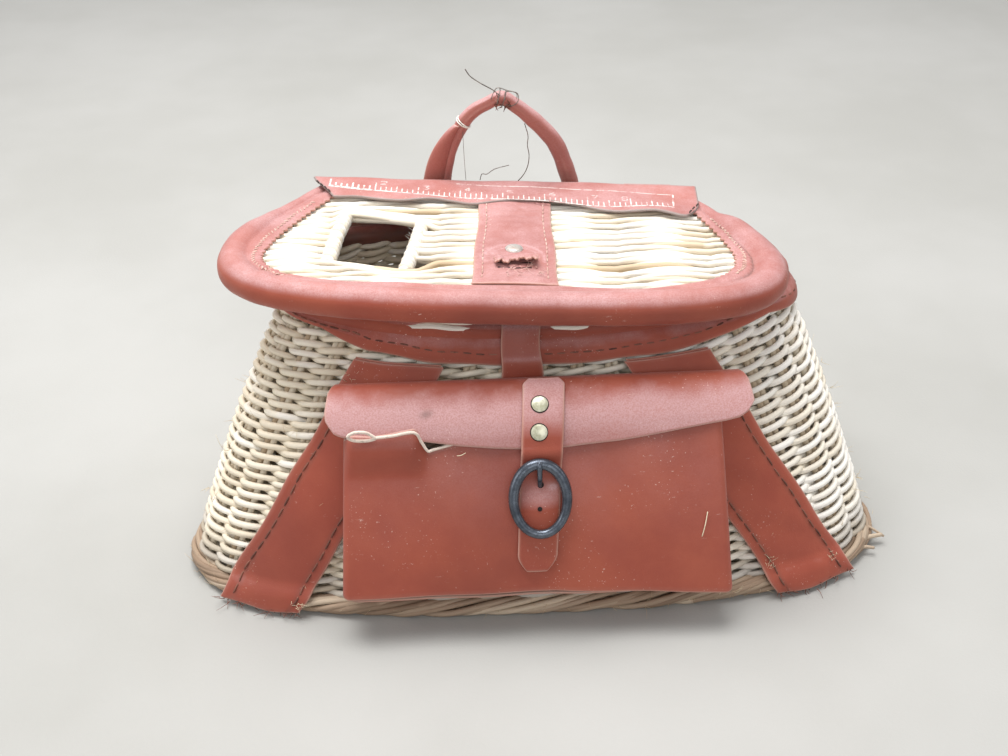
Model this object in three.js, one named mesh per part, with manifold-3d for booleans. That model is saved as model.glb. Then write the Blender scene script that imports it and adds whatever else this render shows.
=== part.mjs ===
// Fishing creel bag: a woven wicker basket with a hinged wicker lid, leather bindings and a
// buckled leather pocket on its front. Millimetres, +Z up. The front faces -Y, X runs to the
// right, and the origin is on the underside of the basket's floor.

import * as THREE from 'three';
import { mergeVertices } from 'three/addons/utils/BufferGeometryUtils.js';
import Module from 'manifold-3d';

const wasm = await Module();
wasm.setup();

// Clearances and leather
const GAP = 0.3;
const LEATHER = 2;
const AROUND = 56;

// Basket, in plan: a blunt D with a bowed front, sides that draw in to a flat back
const BASE_HALF_WIDTH = 198;
const BASE_FRONT = 94;
const BASE_WIDEST_Y = -22;
const BASE_CORNER = 2.6;
const BASE_BACK_SHARE = 0.76;
const BACK_Y = 92;
const RIM_HALF_WIDTH = 137;
const RIM_FRONT = 26;
const RIM_WIDEST_Y = 36;
const RIM_CORNER = 2;
const RIM_BACK_SHARE = 0.88;
const RIM_SHIFT = 5;
const BACK_CORNER = 8;
const SIDE_TAPER = 1.4;

// Basket, upright
const RIM_TOP = 148;
const WALL_BELLY = 0.28;
const WICKER = 5;
const FLOOR_THICK = 5;
const BORDER_RADIUS = 5.5;
const RIM_RADIUS = 6;
const BAND_HEIGHT = 20;

// Lid, in its own frame: hinge side at y = 0, front towards -y, mid thickness at z = 0
const LID_HALF_WIDTH = 144;
const LID_DEPTH = 130;
const LID_WIDEST = 80;
const LID_CORNER = 3;
const LID_BACK_SHARE = 0.73;
const LID_ROLL_RADIUS = 9;
const LID_ROLL_END = 4.6;
const LID_SWELL_LEFT = 66;
const LID_SWELL_RIGHT = 42;
const LID_PANEL = 6;
const LID_ROD_RADIUS = 4;
const LID_SHIFT = -9.6;
const LID_LIFT = 0.3;
const LID_YAW = -2.7;
const LID_ROLL = 2.3;
const HINGE_BACK = 5;

// Fish hole and the two wrapped bars beside it
const BAR_RADIUS = 3;

// Strap, stud and torn loop on the lid, and the ruler strip over its hinge side
const LID_STRAP_WIDTH = 44;
const LID_STRAP_X = 6.5;
const STUD_RADIUS = 4.8;
const STUD_HEIGHT = 2.2;
const STUD_REACH = 80;
const LOOP_WIDTH = 20;
const LOOP_HEIGHT = 8;
const LOOP_REACH = 96;
const RULER_LENGTH = 222;
const RULER_WIDTH = 30;
const RULER_X = 3.5;

// Straps on the basket
const CLOSURE_WIDTH = 21.5;
const CLOSURE_X = -6.5;
const BRACE_WIDTH = 46;
const BRACE_TOP_X = 71;
const BRACE_FOOT_X = 154;

// Pocket
const POCKET_X = -1;
const POCKET_WIDTH = 208;
const POCKET_TOP_WIDTH = 199;
const POCKET_DEPTH = 21;
const POCKET_FOOT = 25;
const POCKET_HEIGHT = 82;
const POCKET_CORNER = 9;
const FLAP_X = 1.8;
const FLAP_WIDTH = 222;
const FLAP_ROOT = 123;
const FLAP_LAP = 9;
const TEAR_WIDTH = 44;
const TEAR_DEPTH = 7;

// Pocket's tab, rivets and ring buckle
const TAB_WIDTH = 22;
const TAB_X = 4.3;
const TAB_LEAN = 7;
const TAB_FOOT = 38;
const RIVET_RADIUS = 4.8;
const RIVET_HEIGHT = 1.8;
const RIVET_DROP = 2.5;
const RIVET_PITCH = 10;
const RING_WIDTH = 32;
const RING_HEIGHT = 41;
const RING_WIRE = 5.2;
const RING_CENTRE = 75;
const PRONG_RADIUS = 1.3;

// Handle, behind the hinge
const HANDLE_RADIUS = 5.4;
const HANDLE_HEIGHT = 61;
const HANDLE_SPREAD = 80;
const HANDLE_X = -7.5;
const HANDLE_FOOT = 118;
const SPLIT_WIDTH = 6.5;
const TIE_RADIUS = 0.8;
const TIE_DROP = 17;
const WIRE_RADIUS = 0.5;
const WIRE_TURNS = 4;

// Materials
const leather = () => new THREE.MeshStandardMaterial({ color: 0xa8584a, roughness: 0.62 });
const wicker = () => new THREE.MeshStandardMaterial({ color: 0xe6d8b4, roughness: 0.7 });
const cane = () => new THREE.MeshStandardMaterial({ color: 0x9a7d5c, roughness: 0.75 });
const brass = () => new THREE.MeshStandardMaterial({ color: 0xc8c094, roughness: 0.4, metalness: 0.9 });
const steel = () => new THREE.MeshStandardMaterial({ color: 0x3c4550, roughness: 0.45, metalness: 0.9 });
const thread = () => new THREE.MeshStandardMaterial({ color: 0xd8d0bc, roughness: 0.9 });

const creel = new THREE.Group();
const vec = (x, y, z = 0) => new THREE.Vector3(x, y, z);
const mix = (a, b, t) => a + (b - a) * t;

function addPiece(name, geometry, material, parent = creel) {
  const mesh = new THREE.Mesh(geometry, material);
  mesh.name = name;
  parent.add(mesh);
  return mesh;
}

// Closed mesh from points and triangles, turned so that its faces point out
function closedMesh(points, triangles) {
  let volume = 0;
  for (const [a, b, c] of triangles) {
    volume += points[a].dot(points[b].clone().cross(points[c]));
  }
  const index = triangles.flatMap(([a, b, c]) => (volume < 0 ? [a, c, b] : [a, b, c]));
  const geometry = new THREE.BufferGeometry();
  const flat = points.flatMap((p) => [p.x, p.y, p.z]);
  geometry.setAttribute('position', new THREE.Float32BufferAttribute(flat, 3));
  geometry.setIndex(index);
  geometry.computeVertexNormals();
  return geometry;
}

// Skin through closed rings of equal count; `closed` joins the last ring to the first
function skin(rings, closed = false) {
  const count = rings[0].length;
  const points = rings.flat();
  const triangles = [];
  const steps = closed ? rings.length : rings.length - 1;
  for (let i = 0; i < steps; i++) {
    const next = (i + 1) % rings.length;
    for (let j = 0; j < count; j++) {
      const k = (j + 1) % count;
      triangles.push([i * count + j, i * count + k, next * count + k]);
      triangles.push([i * count + j, next * count + k, next * count + j]);
    }
  }
  if (!closed) {
    capRing(points, triangles, rings[0], 0, true);
    capRing(points, triangles, rings[rings.length - 1], (rings.length - 1) * count, false);
  }
  return closedMesh(points, triangles);
}

function capRing(points, triangles, ring, start, flip) {
  const centre = ring.reduce((sum, p) => sum.add(p), vec(0, 0, 0)).divideScalar(ring.length);
  const hub = points.push(centre) - 1;
  for (let j = 0; j < ring.length; j++) {
    const k = (j + 1) % ring.length;
    triangles.push(flip ? [start + k, start + j, hub] : [start + j, start + k, hub]);
  }
}

// Sheet of even thickness about the surface at(u, v), with u and v from 0 to 1
function sheet(nu, nv, at, thickness = LEATHER, loop = false) {
  const step = 1e-3;
  const faces = [[], []];
  const columns = loop ? nu : nu + 1;
  for (let i = 0; i < columns; i++) {
    for (let j = 0; j <= nv; j++) {
      const u = i / nu;
      const v = j / nv;
      const u0 = loop ? u - step : Math.max(u - step, 0);
      const u1 = loop ? u + step : Math.min(u + step, 1);
      const alongU = at(u1, v).sub(at(u0, v));
      const alongV = at(u, Math.min(v + step, 1)).sub(at(u, Math.max(v - step, 0)));
      const normal = alongU.cross(alongV).normalize();
      const middle = at(u, v);
      faces[0].push(middle.clone().addScaledVector(normal, thickness / 2));
      faces[1].push(middle.clone().addScaledVector(normal, -thickness / 2));
    }
  }
  const rows = nv + 1;
  const lower = faces[0].length;
  const id = (side, i, j) => side * lower + (i % columns) * rows + j;
  const triangles = [];
  const quad = (a, b, c, d) => triangles.push([a, b, c], [a, c, d]);
  for (let i = 0; i < nu; i++) {
    for (let j = 0; j < nv; j++) {
      quad(id(0, i, j), id(0, i + 1, j), id(0, i + 1, j + 1), id(0, i, j + 1));
      quad(id(1, i, j), id(1, i, j + 1), id(1, i + 1, j + 1), id(1, i + 1, j));
    }
    quad(id(0, i, 0), id(1, i, 0), id(1, i + 1, 0), id(0, i + 1, 0));
    quad(id(0, i, nv), id(0, i + 1, nv), id(1, i + 1, nv), id(1, i, nv));
  }
  if (!loop) {
    for (let j = 0; j < nv; j++) {
      quad(id(0, 0, j), id(0, 0, j + 1), id(1, 0, j + 1), id(1, 0, j));
      quad(id(0, nu, j), id(1, nu, j), id(1, nu, j + 1), id(0, nu, j + 1));
    }
  }
  return closedMesh([...faces[0], ...faces[1]], triangles);
}

// Points spread evenly along a polyline, closed or open
function evenly(points, count, closed) {
  const line = closed ? [...points, points[0]] : points;
  const reach = [0];
  for (let i = 1; i < line.length; i++) {
    reach.push(reach[i - 1] + line[i].distanceTo(line[i - 1]));
  }
  const total = reach[reach.length - 1];
  const out = [];
  let k = 1;
  for (let i = 0; i < count; i++) {
    const target = (total * i) / (closed ? count : count - 1);
    while (k < line.length - 1 && reach[k] < target) k++;
    const share = (target - reach[k - 1]) / (reach[k] - reach[k - 1]);
    out.push(line[k - 1].clone().lerp(line[k], Math.min(share, 1)));
  }
  return out;
}

// Each point of a flat open path moved to its left by a distance, in the XY plane
function offsetPath(path, distance) {
  const last = path.length - 1;
  return path.map((p, i) => {
    const before = path[Math.max(i - 1, 0)];
    const after = path[Math.min(i + 1, last)];
    const along = after.clone().sub(before).normalize();
    return vec(p.x - along.y * distance, p.y + along.x * distance, p.z);
  });
}

// Round bar along a path that lies nearly level; `radius` may depend on the place
function bar(path, radius, sides, closed = false) {
  const last = path.length - 1;
  const rings = path.map((p, i) => {
    const before = path[i === 0 ? (closed ? last : 0) : i - 1];
    const after = path[i === last ? (closed ? 0 : last) : i + 1];
    const along = after.clone().sub(before).normalize();
    const side = vec(-along.y, along.x, 0).normalize();
    const up = along.clone().cross(side).negate();
    const r = typeof radius === 'function' ? radius(p) : radius;
    return Array.from({ length: sides }, (_, j) => {
      const turn = (2 * Math.PI * (j + 0.5)) / sides;
      return p.clone()
        .addScaledVector(side, r * Math.cos(turn))
        .addScaledVector(up, r * Math.sin(turn));
    });
  });
  return skin(rings, closed);
}

// Round tube along a curve that may climb
function tube(points, radius, steps, sides) {
  const section = new THREE.Shape();
  section.absellipse(0, 0, radius, radius, 0, 2 * Math.PI, false);
  return new THREE.ExtrudeGeometry(section, {
    steps,
    curveSegments: sides / 2,
    extrudePath: new THREE.CatmullRomCurve3(points),
    bevelEnabled: false,
  });
}

function toManifold(geometry) {
  const bare = geometry.clone();
  for (const name of Object.keys(bare.attributes)) {
    if (name !== 'position') bare.deleteAttribute(name);
  }
  const merged = mergeVertices(bare, 1e-4);
  return new wasm.Manifold(new wasm.Mesh({
    numProp: 3,
    vertProperties: new Float32Array(merged.attributes.position.array),
    triVerts: new Uint32Array(merged.index.array),
  }));
}

function fromManifold(solid) {
  const mesh = solid.getMesh();
  const geometry = new THREE.BufferGeometry();
  geometry.setAttribute('position', new THREE.BufferAttribute(mesh.vertProperties, 3));
  geometry.setIndex(new THREE.BufferAttribute(mesh.triVerts, 1));
  geometry.computeVertexNormals();
  return geometry;
}

// Basket's plan at a height: the sizes of its outer face there, grown by `grow`
function planAt(z, grow = 0) {
  const s = Math.min(Math.max(z / RIM_TOP, 0), 1);
  const w = s - WALL_BELLY * s * (1 - s);
  return {
    half: mix(BASE_HALF_WIDTH, RIM_HALF_WIDTH, w) + grow,
    front: -mix(BASE_FRONT, RIM_FRONT, w) - grow,
    widest: mix(BASE_WIDEST_Y, RIM_WIDEST_Y, w),
    back: BACK_Y + grow,
    backHalf: mix(BASE_HALF_WIDTH * BASE_BACK_SHARE, RIM_HALF_WIDTH * RIM_BACK_SHARE, w) + grow,
    corner: mix(BASE_CORNER, RIM_CORNER, w),
    shift: RIM_SHIFT * w,
  };
}

// Closed outline of the basket at a height, evenly spaced from the middle of its front
function outline(z, grow = 0, count = AROUND) {
  const plan = planAt(z, grow);
  const fine = [];
  for (let i = 0; i < 720; i++) {
    const turn = (2 * Math.PI * i) / 720 - Math.PI / 2;
    const c = Math.cos(turn);
    const s = Math.sin(turn);
    const power = 2 / (s < 0 ? plan.corner : BACK_CORNER);
    const across = Math.sign(c) * Math.abs(c) ** power;
    const deep = Math.abs(s) ** power;
    const taper = s < 0 ? 0 : (plan.half - plan.backHalf) * deep ** SIDE_TAPER;
    const end = s < 0 ? plan.front : plan.back;
    fine.push(vec(plan.shift + (plan.half - taper) * across, mix(plan.widest, end, deep), z));
  }
  return evenly(fine, count, true);
}

// Y of the basket's front face at x and z
function frontY(x, z, grow = 0) {
  const plan = planAt(z, grow);
  const across = Math.min(Math.abs(x - plan.shift) / plan.half, 1);
  const deep = (1 - across ** plan.corner) ** (1 / plan.corner);
  return mix(plan.widest, plan.front, deep);
}

const wallFoot = 2 * BORDER_RADIUS + GAP;
const wallTop = RIM_TOP - 2 * RIM_RADIUS - GAP;
const bandFoot = RIM_TOP - BAND_HEIGHT;
const rimMiddle = RIM_TOP - RIM_RADIUS;
const bandTop = rimMiddle - RIM_RADIUS * 0.9;
const wallLean = Math.cos(Math.atan((BASE_FRONT - RIM_FRONT) / RIM_TOP));
const onWall = (GAP + LEATHER / 2) / wallLean;
const onBand = onWall + (GAP + LEATHER) / wallLean;

function buildBasket() {
  const levels = 7;
  const outer = [];
  const inner = [];
  for (let i = 0; i <= levels; i++) {
    const z = mix(wallFoot, wallTop, i / levels);
    outer.push(outline(z));
    inner.push(outline(z, -WICKER));
  }
  addPiece('basket_wall', skin([...outer, ...inner.reverse()], true), wicker());

  const floorEdge = outline(0, -2 * BORDER_RADIUS - 2 * GAP);
  const floorShape = new THREE.Shape(floorEdge.map((p) => new THREE.Vector2(p.x, p.y)));
  const floor = new THREE.ExtrudeGeometry(floorShape, { depth: FLOOR_THICK, bevelEnabled: false });
  addPiece('basket_floor', floor, wicker());

  const border = outline(0, -BORDER_RADIUS).map((p) => vec(p.x, p.y, BORDER_RADIUS));
  addPiece('base_border', bar(border, BORDER_RADIUS, 8, true), cane());

  addPiece('rim_roll', bar(outline(rimMiddle, -WICKER / 2), RIM_RADIUS, 8, true), leather());

  const rows = [0, 1].map((k) => outline(mix(bandFoot, bandTop, k), onWall));
  const band = sheet(AROUND, 1, (u, v) => {
    const i = ((u % 1) + 1) % 1 * AROUND;
    const a = Math.floor(i) % AROUND;
    const b = (a + 1) % AROUND;
    const row = (r) => r[a].clone().lerp(r[b], i - Math.floor(i));
    return row(rows[0]).lerp(row(rows[1]), v);
  }, LEATHER, true);
  addPiece('rim_band', band, leather());
}

// Leather braces that run from the rim band outwards and down round the base's border
function buildBrace(name, side) {
  const top = bandFoot - GAP;
  const brace = sheet(3, 12, (u, v) => {
    const z = mix(BORDER_RADIUS * 0.6, top, v);
    const middle = mix(BRACE_FOOT_X, BRACE_TOP_X, v);
    const x = side * (middle + (u - 0.5) * BRACE_WIDTH);
    const swell = GAP + BORDER_RADIUS * 0.65;
    const over = swell * THREE.MathUtils.smoothstep(wallFoot + BORDER_RADIUS - z, 0, BORDER_RADIUS);
    return vec(x, frontY(x, z, onWall + over), z);
  });
  addPiece(name, brace, leather());
}

// Closure strap: over the rim roll, down the band and in behind the pocket's flap
function buildClosure() {
  const reach = RIM_RADIUS + 2 * GAP + LEATHER / 2;
  const rimY = frontY(CLOSURE_X, rimMiddle, -WICKER / 2);
  const profile = [120, 100, 80, 50, 20].map((turn) => {
    const angle = THREE.MathUtils.degToRad(turn);
    return vec(0, rimY - Math.cos(angle) * reach, rimMiddle + Math.sin(angle) * reach);
  });
  for (const z of [rimMiddle - RIM_RADIUS - LEATHER, bandFoot + LEATHER]) {
    profile.push(vec(0, frontY(CLOSURE_X, z, onBand + GAP), z));
  }
  const foot = FLAP_ROOT - LEATHER;
  profile.push(vec(0, frontY(CLOSURE_X, foot, onWall), foot));
  const curve = new THREE.CatmullRomCurve3(profile, false, 'centripetal');
  const strap = sheet(1, 14, (u, v) => {
    const p = curve.getPointAt(v);
    return vec(CLOSURE_X + (u - 0.5) * CLOSURE_WIDTH, p.y, p.z);
  });
  addPiece('closure_strap', strap, leather());
}

const pocketTop = POCKET_FOOT + POCKET_HEIGHT;
const pocketBack = (2 * GAP + LEATHER) / wallLean;
const pocketFace = (z) => frontY(POCKET_X, z) - POCKET_DEPTH;

// Pocket's outline at a height: flat front, round corners, back against the basket
function pocketRing(z, wall, lean) {
  const half = mix(POCKET_WIDTH, POCKET_TOP_WIDTH, (z - POCKET_FOOT) / POCKET_HEIGHT) / 2 - wall;
  const front = pocketFace(z) + wall;
  const radius = Math.max(POCKET_CORNER - wall, 1);
  const ring = [];
  for (const side of [-1, 1]) {
    const corner = [];
    for (let i = 0; i <= 4; i++) {
      const angle = (i / 4) * Math.PI / 2;
      const x = half - radius + radius * Math.sin(angle);
      const y = front + radius - radius * Math.cos(angle);
      corner.push(vec(POCKET_X + side * x, y, z));
    }
    if (side < 0) corner.reverse();
    ring.push(...corner);
  }
  for (let i = 0; i <= 8; i++) {
    const x = POCKET_X + mix(half, -half, i / 8);
    ring.push(vec(x, frontY(x, z, pocketBack) + lean, z));
  }
  return ring;
}

function buildPocket() {
  const levels = 6;
  const outer = [];
  const inner = [];
  for (let i = 0; i <= levels; i++) {
    const z = mix(POCKET_FOOT, pocketTop, i / levels);
    outer.push(pocketRing(z, 0, 0));
    inner.push(pocketRing(z + LEATHER, LEATHER, 4 * LEATHER));
  }
  const tear = new THREE.Shape([
    new THREE.Vector2(0, 1),
    new THREE.Vector2(0, -TEAR_DEPTH * 0.3),
    new THREE.Vector2(TEAR_WIDTH * 0.25, -TEAR_DEPTH),
    new THREE.Vector2(TEAR_WIDTH, -TEAR_DEPTH * 0.4),
    new THREE.Vector2(TEAR_WIDTH, 1),
  ]);
  const cut = new THREE.ExtrudeGeometry(tear, { depth: POCKET_DEPTH / 2, bevelEnabled: false });
  cut.rotateX(Math.PI / 2);
  cut.translate(POCKET_X - POCKET_WIDTH * 0.29, pocketFace(pocketTop) + POCKET_DEPTH / 4, pocketTop);
  const shell = toManifold(skin(outer)).subtract(toManifold(skin(inner))).subtract(toManifold(cut));
  addPiece('pocket_body', fromManifold(shell), leather());
}

// Flap's section, from its root by the basket to the pocket's front edge: shares of the way
// forward and of the height above the pocket's top
const FLAP_SECTION = [
  { forward: 0.0, up: 1.0 },
  { forward: 0.25, up: 1.07 },
  { forward: 0.6, up: 0.82 },
  { forward: 0.88, up: 0.46 },
];
const FLAP_EDGE = [
  { along: 0.0, half: 0.96 },
  { along: 0.2, half: 0.985 },
  { along: 0.45, half: 1.0 },
  { along: 0.75, half: 0.99 },
  { along: 1.0, half: 0.94 },
];
const offFace = (GAP + LEATHER / 2) / wallLean;
const flapRootY = frontY(POCKET_X, FLAP_ROOT, onBand);
const flapCurve = new THREE.CatmullRomCurve3([
  ...FLAP_SECTION.map((row) => vec(
    0,
    mix(flapRootY, pocketFace(pocketTop), row.forward),
    mix(pocketTop, FLAP_ROOT, row.up),
  )),
  vec(0, pocketFace(pocketTop) - offFace, pocketTop + offFace),
  vec(0, pocketFace(pocketTop - FLAP_LAP / 2) - offFace - GAP, pocketTop - FLAP_LAP / 2),
  vec(0, pocketFace(pocketTop - FLAP_LAP) - offFace, pocketTop - FLAP_LAP),
], false, 'centripetal');

function tableValue(table, key, value, at) {
  const i = Math.max(1, table.findIndex((row) => row[key] >= at - 1e-9));
  const a = table[i - 1];
  const b = table[i];
  return mix(a[value], b[value], (at - a[key]) / (b[key] - a[key]));
}

function buildFlap() {
  const flap = sheet(14, 9, (u, v) => {
    const side = 2 * u - 1;
    const along = v * (1 - 0.22 * Math.abs(side) ** 3);
    const half = (FLAP_WIDTH / 2) * tableValue(FLAP_EDGE, 'along', 'half', along);
    const p = flapCurve.getPointAt(along);
    return vec(FLAP_X + side * half, p.y, p.z);
  });
  addPiece('pocket_flap', flap, leather());
}

// Tab: over the flap, then down the pocket's face under the ring; its tail is cut to a point
function tabPath() {
  const lift = LEATHER + 3 * GAP;
  const path = [];
  for (let i = 0; i <= 8; i++) {
    const share = mix(0.14, 1, i / 8);
    const p = flapCurve.getPointAt(share);
    const t = flapCurve.getTangentAt(share);
    path.push(vec(0, p.y + t.z * lift, p.z - t.y * lift));
  }
  const under = path[8].z - 2 * LEATHER;
  for (let i = 0; i <= 5; i++) {
    const z = mix(under, TAB_FOOT, i / 5);
    path.push(vec(0, pocketFace(z) - offFace - (i === 0 ? 2 * GAP : 0), z));
  }
  return new THREE.CatmullRomCurve3(path, false, 'centripetal');
}

const tabCurve = tabPath();

function buildTab() {
  const tab = sheet(2, 22, (u, v) => {
    const tail = Math.min(1, 0.55 + (1 - v) * 9);
    const head = Math.min(1, 0.6 + v * 14);
    const half = (TAB_WIDTH / 2) * Math.min(tail, head) * mix(1, 0.94, v);
    const p = tabCurve.getPointAt(v);
    return vec(TAB_X - TAB_LEAN * v + (2 * u - 1) * half, p.y, p.z);
  });
  addPiece('pocket_tab', tab, leather());
}

// Place on the tab's outer face: the share of its length where its height is z
function tabPlace(z) {
  let share = 0;
  while (share < 1 && tabCurve.getPointAt(share).z > z) share += 0.002;
  const p = tabCurve.getPointAt(share);
  const t = tabCurve.getTangentAt(share);
  const out = vec(0, t.z, -t.y);
  return { share, point: p.clone().addScaledVector(out, LEATHER / 2 + GAP), out };
}

function buildRivet(name, z) {
  const profile = [
    new THREE.Vector2(0, 0),
    new THREE.Vector2(RIVET_RADIUS, 0),
    new THREE.Vector2(RIVET_RADIUS, RIVET_HEIGHT * 0.45),
    new THREE.Vector2(RIVET_RADIUS * 0.7, RIVET_HEIGHT * 0.9),
    new THREE.Vector2(0, RIVET_HEIGHT),
  ];
  const place = tabPlace(z);
  const rivet = addPiece(name, new THREE.LatheGeometry(profile, 16), brass());
  rivet.quaternion.setFromUnitVectors(vec(0, 1, 0), place.out);
  rivet.position.set(TAB_X - TAB_LEAN * place.share, place.point.y, place.point.z);
}

function buildBuckle() {
  const place = tabPlace(RING_CENTRE);
  const holder = new THREE.Group();
  holder.quaternion.setFromUnitVectors(vec(0, 0, 1), place.out);
  holder.position.set(TAB_X - TAB_LEAN * place.share, place.point.y, place.point.z);
  creel.add(holder);
  const steps = 24;
  const path = [];
  for (let i = 0; i < steps; i++) {
    const turn = (2 * Math.PI * i) / steps;
    const x = ((RING_WIDTH - RING_WIRE) / 2) * Math.cos(turn);
    const y = ((RING_HEIGHT - RING_WIRE) / 2) * Math.sin(turn);
    path.push(vec(x, y, RING_WIRE / 2));
  }
  addPiece('buckle_ring', bar(path, RING_WIRE / 2, 8, true), steel(), holder);

  const top = RING_HEIGHT / 2 - RING_WIRE - GAP - PRONG_RADIUS;
  const prong = [
    vec(0, top, PRONG_RADIUS + 2 * GAP),
    vec(0, top * 0.75, PRONG_RADIUS + 2.5 * GAP),
    vec(0, top * 0.45, PRONG_RADIUS + 2 * GAP),
    vec(0, top * 0.25, PRONG_RADIUS + GAP),
  ];
  addPiece('buckle_prong', tube(prong, PRONG_RADIUS, 6, 8), steel(), holder);
}

// Handle: a rolled leather arch, its feet running down behind the basket's back
const hingeY = BACK_Y + HINGE_BACK - 1;
const handleY = hingeY + LEATHER + 4 * GAP + 2 + HANDLE_RADIUS;
const HANDLE_ARCH = [
  { across: -1.0, up: -0.14 },
  { across: -0.84, up: 0.3 },
  { across: -0.62, up: 0.62 },
  { across: -0.28, up: 0.88 },
  { across: 0.03, up: 1.0 },
  { across: 0.32, up: 0.9 },
  { across: 0.6, up: 0.66 },
  { across: 0.84, up: 0.3 },
  { across: 0.98, up: -0.14 },
];
const handleBase = RIM_TOP + 10;

function buildHandle() {
  const foot = (side) => [
    vec(HANDLE_X + side * HANDLE_SPREAD / 2, BACK_Y + 4 * GAP + 2 * LEATHER + HANDLE_RADIUS, HANDLE_FOOT),
    vec(HANDLE_X + side * HANDLE_SPREAD / 2, handleY - 1, mix(HANDLE_FOOT, handleBase, 0.6)),
  ];
  const arch = HANDLE_ARCH.map((row) => vec(
    HANDLE_X + row.across * HANDLE_SPREAD / 2,
    handleY,
    handleBase + row.up * HANDLE_HEIGHT,
  ));
  const path = [...foot(-1), ...arch, ...foot(1).reverse()];
  addPiece('handle', tube(path, HANDLE_RADIUS, 40, 8), leather());

  // The arch lies in one plane, so its sections are found from its own curve
  const curve = new THREE.CatmullRomCurve3(path);
  const onArch = (share, reach, turn) => {
    const p = curve.getPointAt(share);
    const t = curve.getTangentAt(share);
    const out = vec(-t.z, 0, t.x).normalize();
    return p.addScaledVector(out, reach * Math.cos(turn)).add(vec(0, reach * Math.sin(turn), 0));
  };
  const shareAt = (z) => {
    let share = 0;
    while (curve.getPointAt(share).z < z) share += 0.002;
    return share;
  };
  const top = handleBase + HANDLE_HEIGHT;
  const from = shareAt(handleBase - HANDLE_HEIGHT * 0.12);
  const to = shareAt(top - TIE_DROP - 3 * TIE_RADIUS);
  const split = sheet(1, 10, (u, v) => {
    const width = mix(SPLIT_WIDTH, SPLIT_WIDTH / 2, v);
    return onArch(mix(from, to, v), HANDLE_RADIUS + 2 * GAP + u * width, 0);
  });
  addPiece('handle_split', split, leather());

  const tieShare = shareAt(top - TIE_DROP);
  const tie = [];
  for (let i = 0; i < 12; i++) {
    tie.push(onArch(tieShare, HANDLE_RADIUS + TIE_RADIUS + 2 * GAP, (2 * Math.PI * i) / 12));
  }
  addPiece('handle_tie', new THREE.TubeGeometry(
    new THREE.CatmullRomCurve3(tie, true), 16, TIE_RADIUS, 6, true), thread());

  const turns = [];
  const steps = WIRE_TURNS * 8;
  for (let i = 0; i <= steps; i++) {
    const share = 0.5 + ((i / steps - 0.5) * WIRE_TURNS * 2.4) / curve.getLength();
    turns.push(onArch(share, HANDLE_RADIUS + WIRE_RADIUS + 3 * GAP, (2 * Math.PI * i) / 8));
  }
  addPiece('handle_wire', tube(turns, WIRE_RADIUS, steps * 1.5, 6), steel());
}

// Lid, hung on a group that carries its small turn and its sideways slope
const lid = new THREE.Group();
const slopeDrop = Math.sin(THREE.MathUtils.degToRad(LID_ROLL)) * (LID_HALF_WIDTH + LID_ROLL_RADIUS);
const lidZ = RIM_TOP + LID_LIFT + slopeDrop + LID_ROLL_RADIUS;
lid.position.set(LID_SHIFT, BACK_Y - 1, lidZ);
lid.rotation.set(0, THREE.MathUtils.degToRad(LID_ROLL), THREE.MathUtils.degToRad(LID_YAW), 'ZYX');

// Centre line of the lid's roll, from its left hinge corner round the front to the right one
function lidLine(inset = 0, count = 56) {
  const backHalf = LID_HALF_WIDTH * LID_BACK_SHARE;
  const half = [];
  for (let i = 0; i <= 40; i++) {
    const s = 1 - i / 40;
    half.push(vec(mix(LID_HALF_WIDTH, backHalf, s ** SIDE_TAPER), -LID_WIDEST * (1 - s)));
  }
  for (let i = 1; i <= 60; i++) {
    const turn = (Math.PI / 2) * (i / 60);
    const power = 2 / LID_CORNER;
    const x = LID_HALF_WIDTH * Math.cos(turn) ** power;
    half.push(vec(i === 60 ? 0 : x, -mix(LID_WIDEST, LID_DEPTH, Math.sin(turn) ** power)));
  }
  const left = half.map((p) => vec(-p.x, p.y));
  const line = evenly([...left, ...half.slice(0, -1).reverse()], count, false);
  return inset === 0 ? line : offsetPath(line, inset);
}

// The hole's corners in shares of the lid's half width and depth, hinge side first
const FISH_HOLE = [
  { across: -0.585, deep: 0.25 },
  { across: -0.34, deep: 0.38 },
  { across: -0.385, deep: 0.76 },
  { across: -0.625, deep: 0.675 },
];
const holeCorner = FISH_HOLE.map((row) => vec(row.across * LID_HALF_WIDTH, -row.deep * LID_DEPTH));

const panelTop = LID_PANEL / 2;
const bandMiddle = panelTop + GAP + LEATHER / 2;
const rulerMiddle = panelTop + 2 * (GAP + LEATHER) - LEATHER / 2;

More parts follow.
